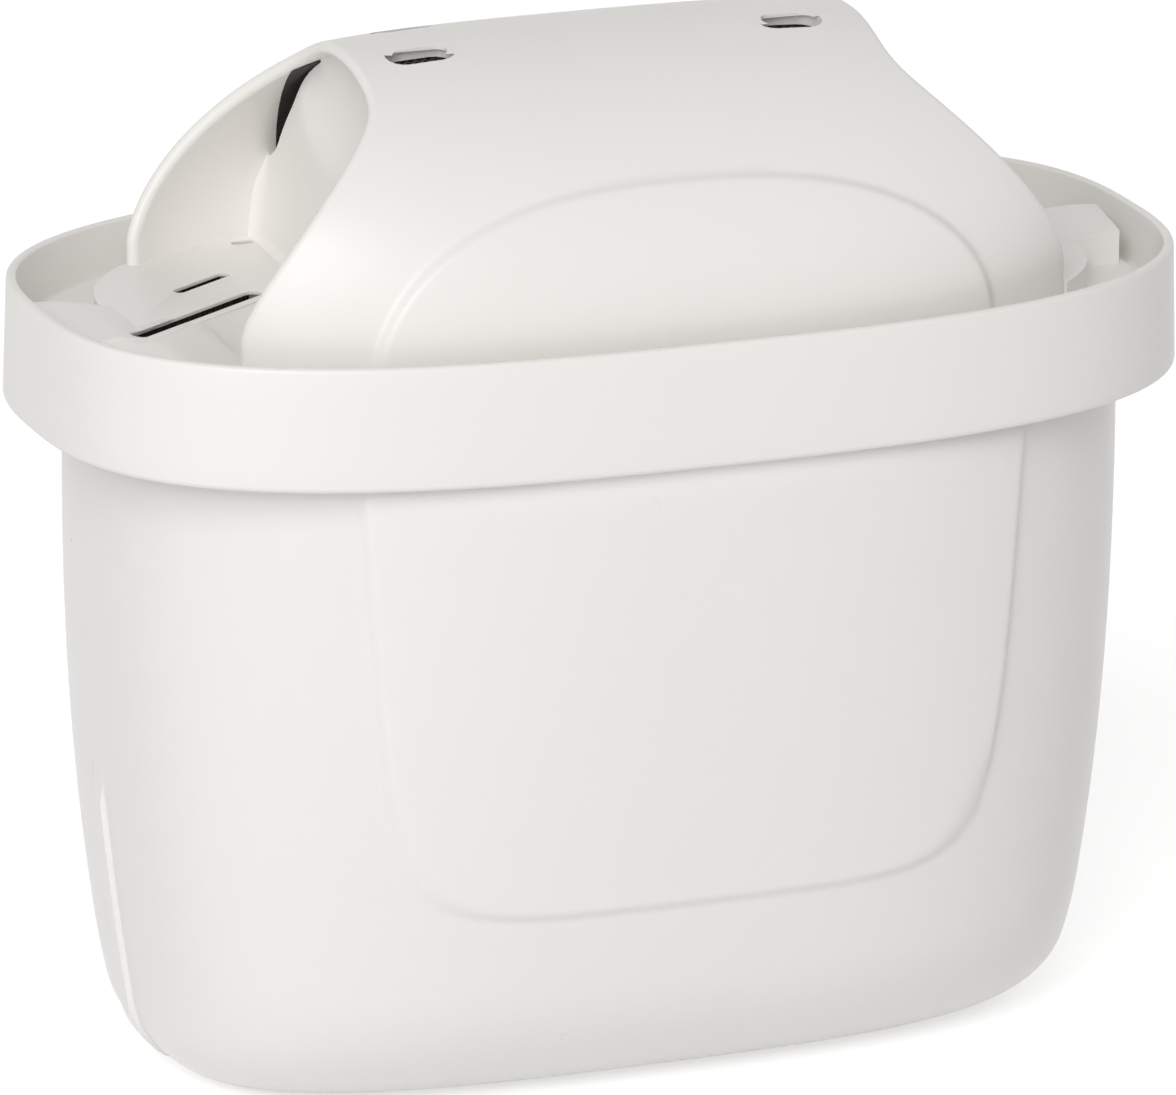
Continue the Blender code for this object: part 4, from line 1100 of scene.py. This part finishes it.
def sieve_material(name, group, turn):
    """A fine sieve of dull plastic threads, with its weave turned into the sheet's plane."""
    material, tree, shader, place = new_material(name)
    mapping = tree.nodes.new("ShaderNodeMapping")
    mapping.inputs["Rotation"].default_value = turn
    tree.links.new(place, mapping.inputs["Vector"])
    values = {"Vector": mapping.outputs["Vector"], "Threads": 1700.0, "Open Share": 0.7}
    node = place_group(tree, group, values)
    shader.inputs["Base Color"].default_value = (0.12, 0.115, 0.105, 1.0)
    shader.inputs["Roughness"].default_value = 0.6
    tree.links.new(node.outputs["Solid"], shader.inputs["Alpha"])
    return material


def painted_shade_sieve_material(name, group):
    """A close near-black sieve, painted shade for the dark behind the slots and slit; its threads a little
    paler than the gaps.
    """
    material, tree, shader, place = new_material(name)
    node = place_group(tree, group, {"Vector": place, "Threads": 2400.0, "Open Share": 0.6})
    # Near-black colours: painted shade for the dark inside the openings
    colour = mix_colour(tree, node.outputs["Solid"], (0.012, 0.011, 0.01), (0.04, 0.037, 0.033))
    tree.links.new(colour, shader.inputs["Base Color"])
    shader.inputs["Roughness"].default_value = 0.7
    return material


def grains_material(name, group):
    """Dark grains with pale beads among them."""
    material, tree, shader, place = new_material(name)
    node = place_group(tree, group, {"Vector": place})
    tree.links.new(node.outputs["Colour"], shader.inputs["Base Color"])
    shader.inputs["Roughness"].default_value = 0.8
    add_bump(tree, shader, node.outputs["Height"], 0.9, 0.0004)
    return material


def set_material(piece, material):
    """Give a piece one material, whatever it had."""
    piece.data.materials.clear()
    piece.data.materials.append(material)


# Stage

def seen_as_backdrop(tree):
    """1 for what the camera, a mirror or glass sees, and 0 for the light that falls on the object."""
    path = tree.nodes.new("ShaderNodeLightPath")
    seen = math_node(tree, "MAXIMUM", path.outputs["Is Camera Ray"], path.outputs["Is Glossy Ray"])
    seen = math_node(tree, "MAXIMUM", seen, path.outputs["Is Transmission Ray"])
    return seen


def make_floor():
    """A wide pale floor that keeps the soft shadow under the object."""
    size = 3.0
    mesh = bpy.data.meshes.new("floor")
    corners = [(-size, -size, 0.0), (size, -size, 0.0), (size, size, 0.0), (-size, size, 0.0)]
    mesh.from_pydata(corners, [], [(0, 1, 2, 3)])
    floor = place_object("floor", mesh)
    material, tree, shader, _ = new_material("pale_floor")
    shader.inputs["Base Color"].default_value = (0.86, 0.86, 0.86, 1.0)
    shader.inputs["Roughness"].default_value = 0.9
    shader.inputs["Specular IOR Level"].default_value = 0.1
    shader.inputs["Emission Strength"].default_value = 1.0
    lift = mix_colour(tree, seen_as_backdrop(tree), (0.0, 0.0, 0.0), FLOOR_LIFT)
    tree.links.new(lift, shader.inputs["Emission Color"])
    mesh.materials.append(material)


def make_world():
    """An even pale room. The camera, mirrors and glass see it as white."""
    world = bpy.data.worlds.new("pale_room")
    bpy.context.scene.world = world
    world.use_nodes = True
    tree = world.node_tree
    plain = tree.nodes["Background"]
    plain.inputs["Color"].default_value = (1.0, 0.99, 0.98, 1.0)
    plain.inputs["Strength"].default_value = ROOM_STRENGTH
    white = tree.nodes.new("ShaderNodeBackground")
    white.inputs["Color"].default_value = (1.0, 1.0, 1.0, 1.0)
    white.inputs["Strength"].default_value = 1.0
    mix = tree.nodes.new("ShaderNodeMixShader")
    tree.links.new(seen_as_backdrop(tree), mix.inputs[0])
    tree.links.new(plain.outputs[0], mix.inputs[1])
    tree.links.new(white.outputs[0], mix.inputs[2])
    tree.links.new(mix.outputs[0], tree.nodes["World Output"].inputs["Surface"])


def make_lamps():
    """Soft square lamps that face the object's middle."""
    for name, place, width, height, power in LAMPS:
        light = bpy.data.lights.new(name, "AREA")
        light.shape = "RECTANGLE"
        light.size = width
        light.size_y = height
        light.energy = power
        lamp = place_object(name, light)
        lamp.location = place
        aim = Vector((0.0, 0.0, 0.05)) - Vector(place)
        lamp.rotation_euler = aim.to_track_quat("-Z", "Y").to_euler()


def make_camera():
    """The photograph's view: from the front and a little left and above, far off through a long lens.

    The camera looks past the collar top's middle, at what lies in the middle of the picture."""
    turn, fall, roll = math.radians(VIEW_TURN), math.radians(VIEW_FALL), math.radians(VIEW_ROLL)
    across, down = PICTURE_WIDTH / 2 - COLLAR_PIXEL_X, PICTURE_HEIGHT / 2 - COLLAR_PIXEL_Y
    right = Vector((math.cos(turn), math.sin(turn), 0.0))
    ahead = Vector((-math.sin(turn) * math.cos(fall), math.cos(turn) * math.cos(fall), -math.sin(fall)))
    up = right.cross(ahead)
    place = Vector((0.0, 0.0, COLLAR_TOP)) - ahead * (FOCAL_PIXELS / PIXELS_PER_MM)
    side = across * math.cos(roll) - down * math.sin(roll)
    rise = -across * math.sin(roll) - down * math.cos(roll)
    aim = (ahead * FOCAL_PIXELS + right * side + up * rise).normalized()
    level = aim.cross(Vector((0.0, 0.0, 1.0))).normalized()
    above = level.cross(aim)
    camera_x = level * math.cos(roll) - above * math.sin(roll)
    camera_y = level * math.sin(roll) + above * math.cos(roll)
    data = bpy.data.cameras.new("camera")
    data.sensor_width = SENSOR_WIDTH
    data.lens = FOCAL_PIXELS / PICTURE_WIDTH * SENSOR_WIDTH
    data.clip_start = 0.05
    data.clip_end = 20.0
    matrix = Matrix((camera_x, camera_y, -aim)).transposed().to_4x4()
    matrix.translation = place * MM
    camera = place_object("camera", data)
    camera.matrix_world = matrix
    bpy.context.scene.camera = camera


def main():
    """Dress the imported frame."""
    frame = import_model()
    bpy.context.scene.view_settings.view_transform = "Standard"
    make_camera()
    make_world()
    make_lamps()
    make_floor()

    moulded = make_moulded_group()
    cream = moulded_material("cream_moulding", moulded, CREAM, CREAM_SHADE, 0.36, 0.04)
    milky = moulded_material("milky_moulding", moulded, MILKY, MILKY_SHADE, 0.30, 0.2)
    weave = make_sieve_group()
    level_sieve = sieve_material("level_sieve", weave, (0.0, 0.0, math.radians(45)))
    upright_sieve = sieve_material("upright_sieve", weave, (0.0, math.radians(90), 0.0))
    dark_sieve = painted_shade_sieve_material("dark_sieve", weave)
    grains = grains_material("mixed_grains", make_grains_group())

    cup = make_cup()
    set_material(cup, milky)
    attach(cup, "root")
    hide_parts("cup")

    cover = [make_collar(), make_dome()]
    for piece in [make_end_wall()] + make_recess_floor():
        cover += [piece, half_turned(piece, piece.name.replace("left", "right"))]
    cover += [make_tongue("tongue_left", TONGUE_LEFT, TONGUE_FALL), make_apron("apron_left", APRON_LEFT)]
    turned = (make_tongue("tongue_turned", TONGUE_RIGHT, 0.0), make_apron("apron_turned", APRON_RIGHT))
    for piece in turned:
        cover.append(half_turned(piece, piece.name.replace("turned", "right")))
        bpy.data.objects.remove(piece)
    for piece in cover:
        set_material(piece, cream)
        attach(piece, "root")
        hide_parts("cover")

    # Near-black sieves of painted shade behind the slits and the slots
    painted_shade_pieces = (
        make_slit_painted_shade_sieve(),
        make_slot_painted_shade_sieve("long_sieve_left", LONG_SLOT, DECK_TOP - 0.1),
        make_slot_painted_shade_sieve("short_sieve_left", SHORT_SLOT, FLOOR_UNDER),
    )
    for piece in painted_shade_pieces:
        for sieve in (piece, half_turned(piece, piece.name.replace("left", "right"))):
            set_material(sieve, dark_sieve)
            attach(sieve, "root")

    for name, node in frame["nodes"].items():
        if name.startswith("vent_screen"):
            set_material(node, upright_sieve)
        elif name.endswith("screen") or "inlet_screen" in name:
            set_material(node, level_sieve)
        elif name == "filter_bed":
            set_material(node, grains)


main()
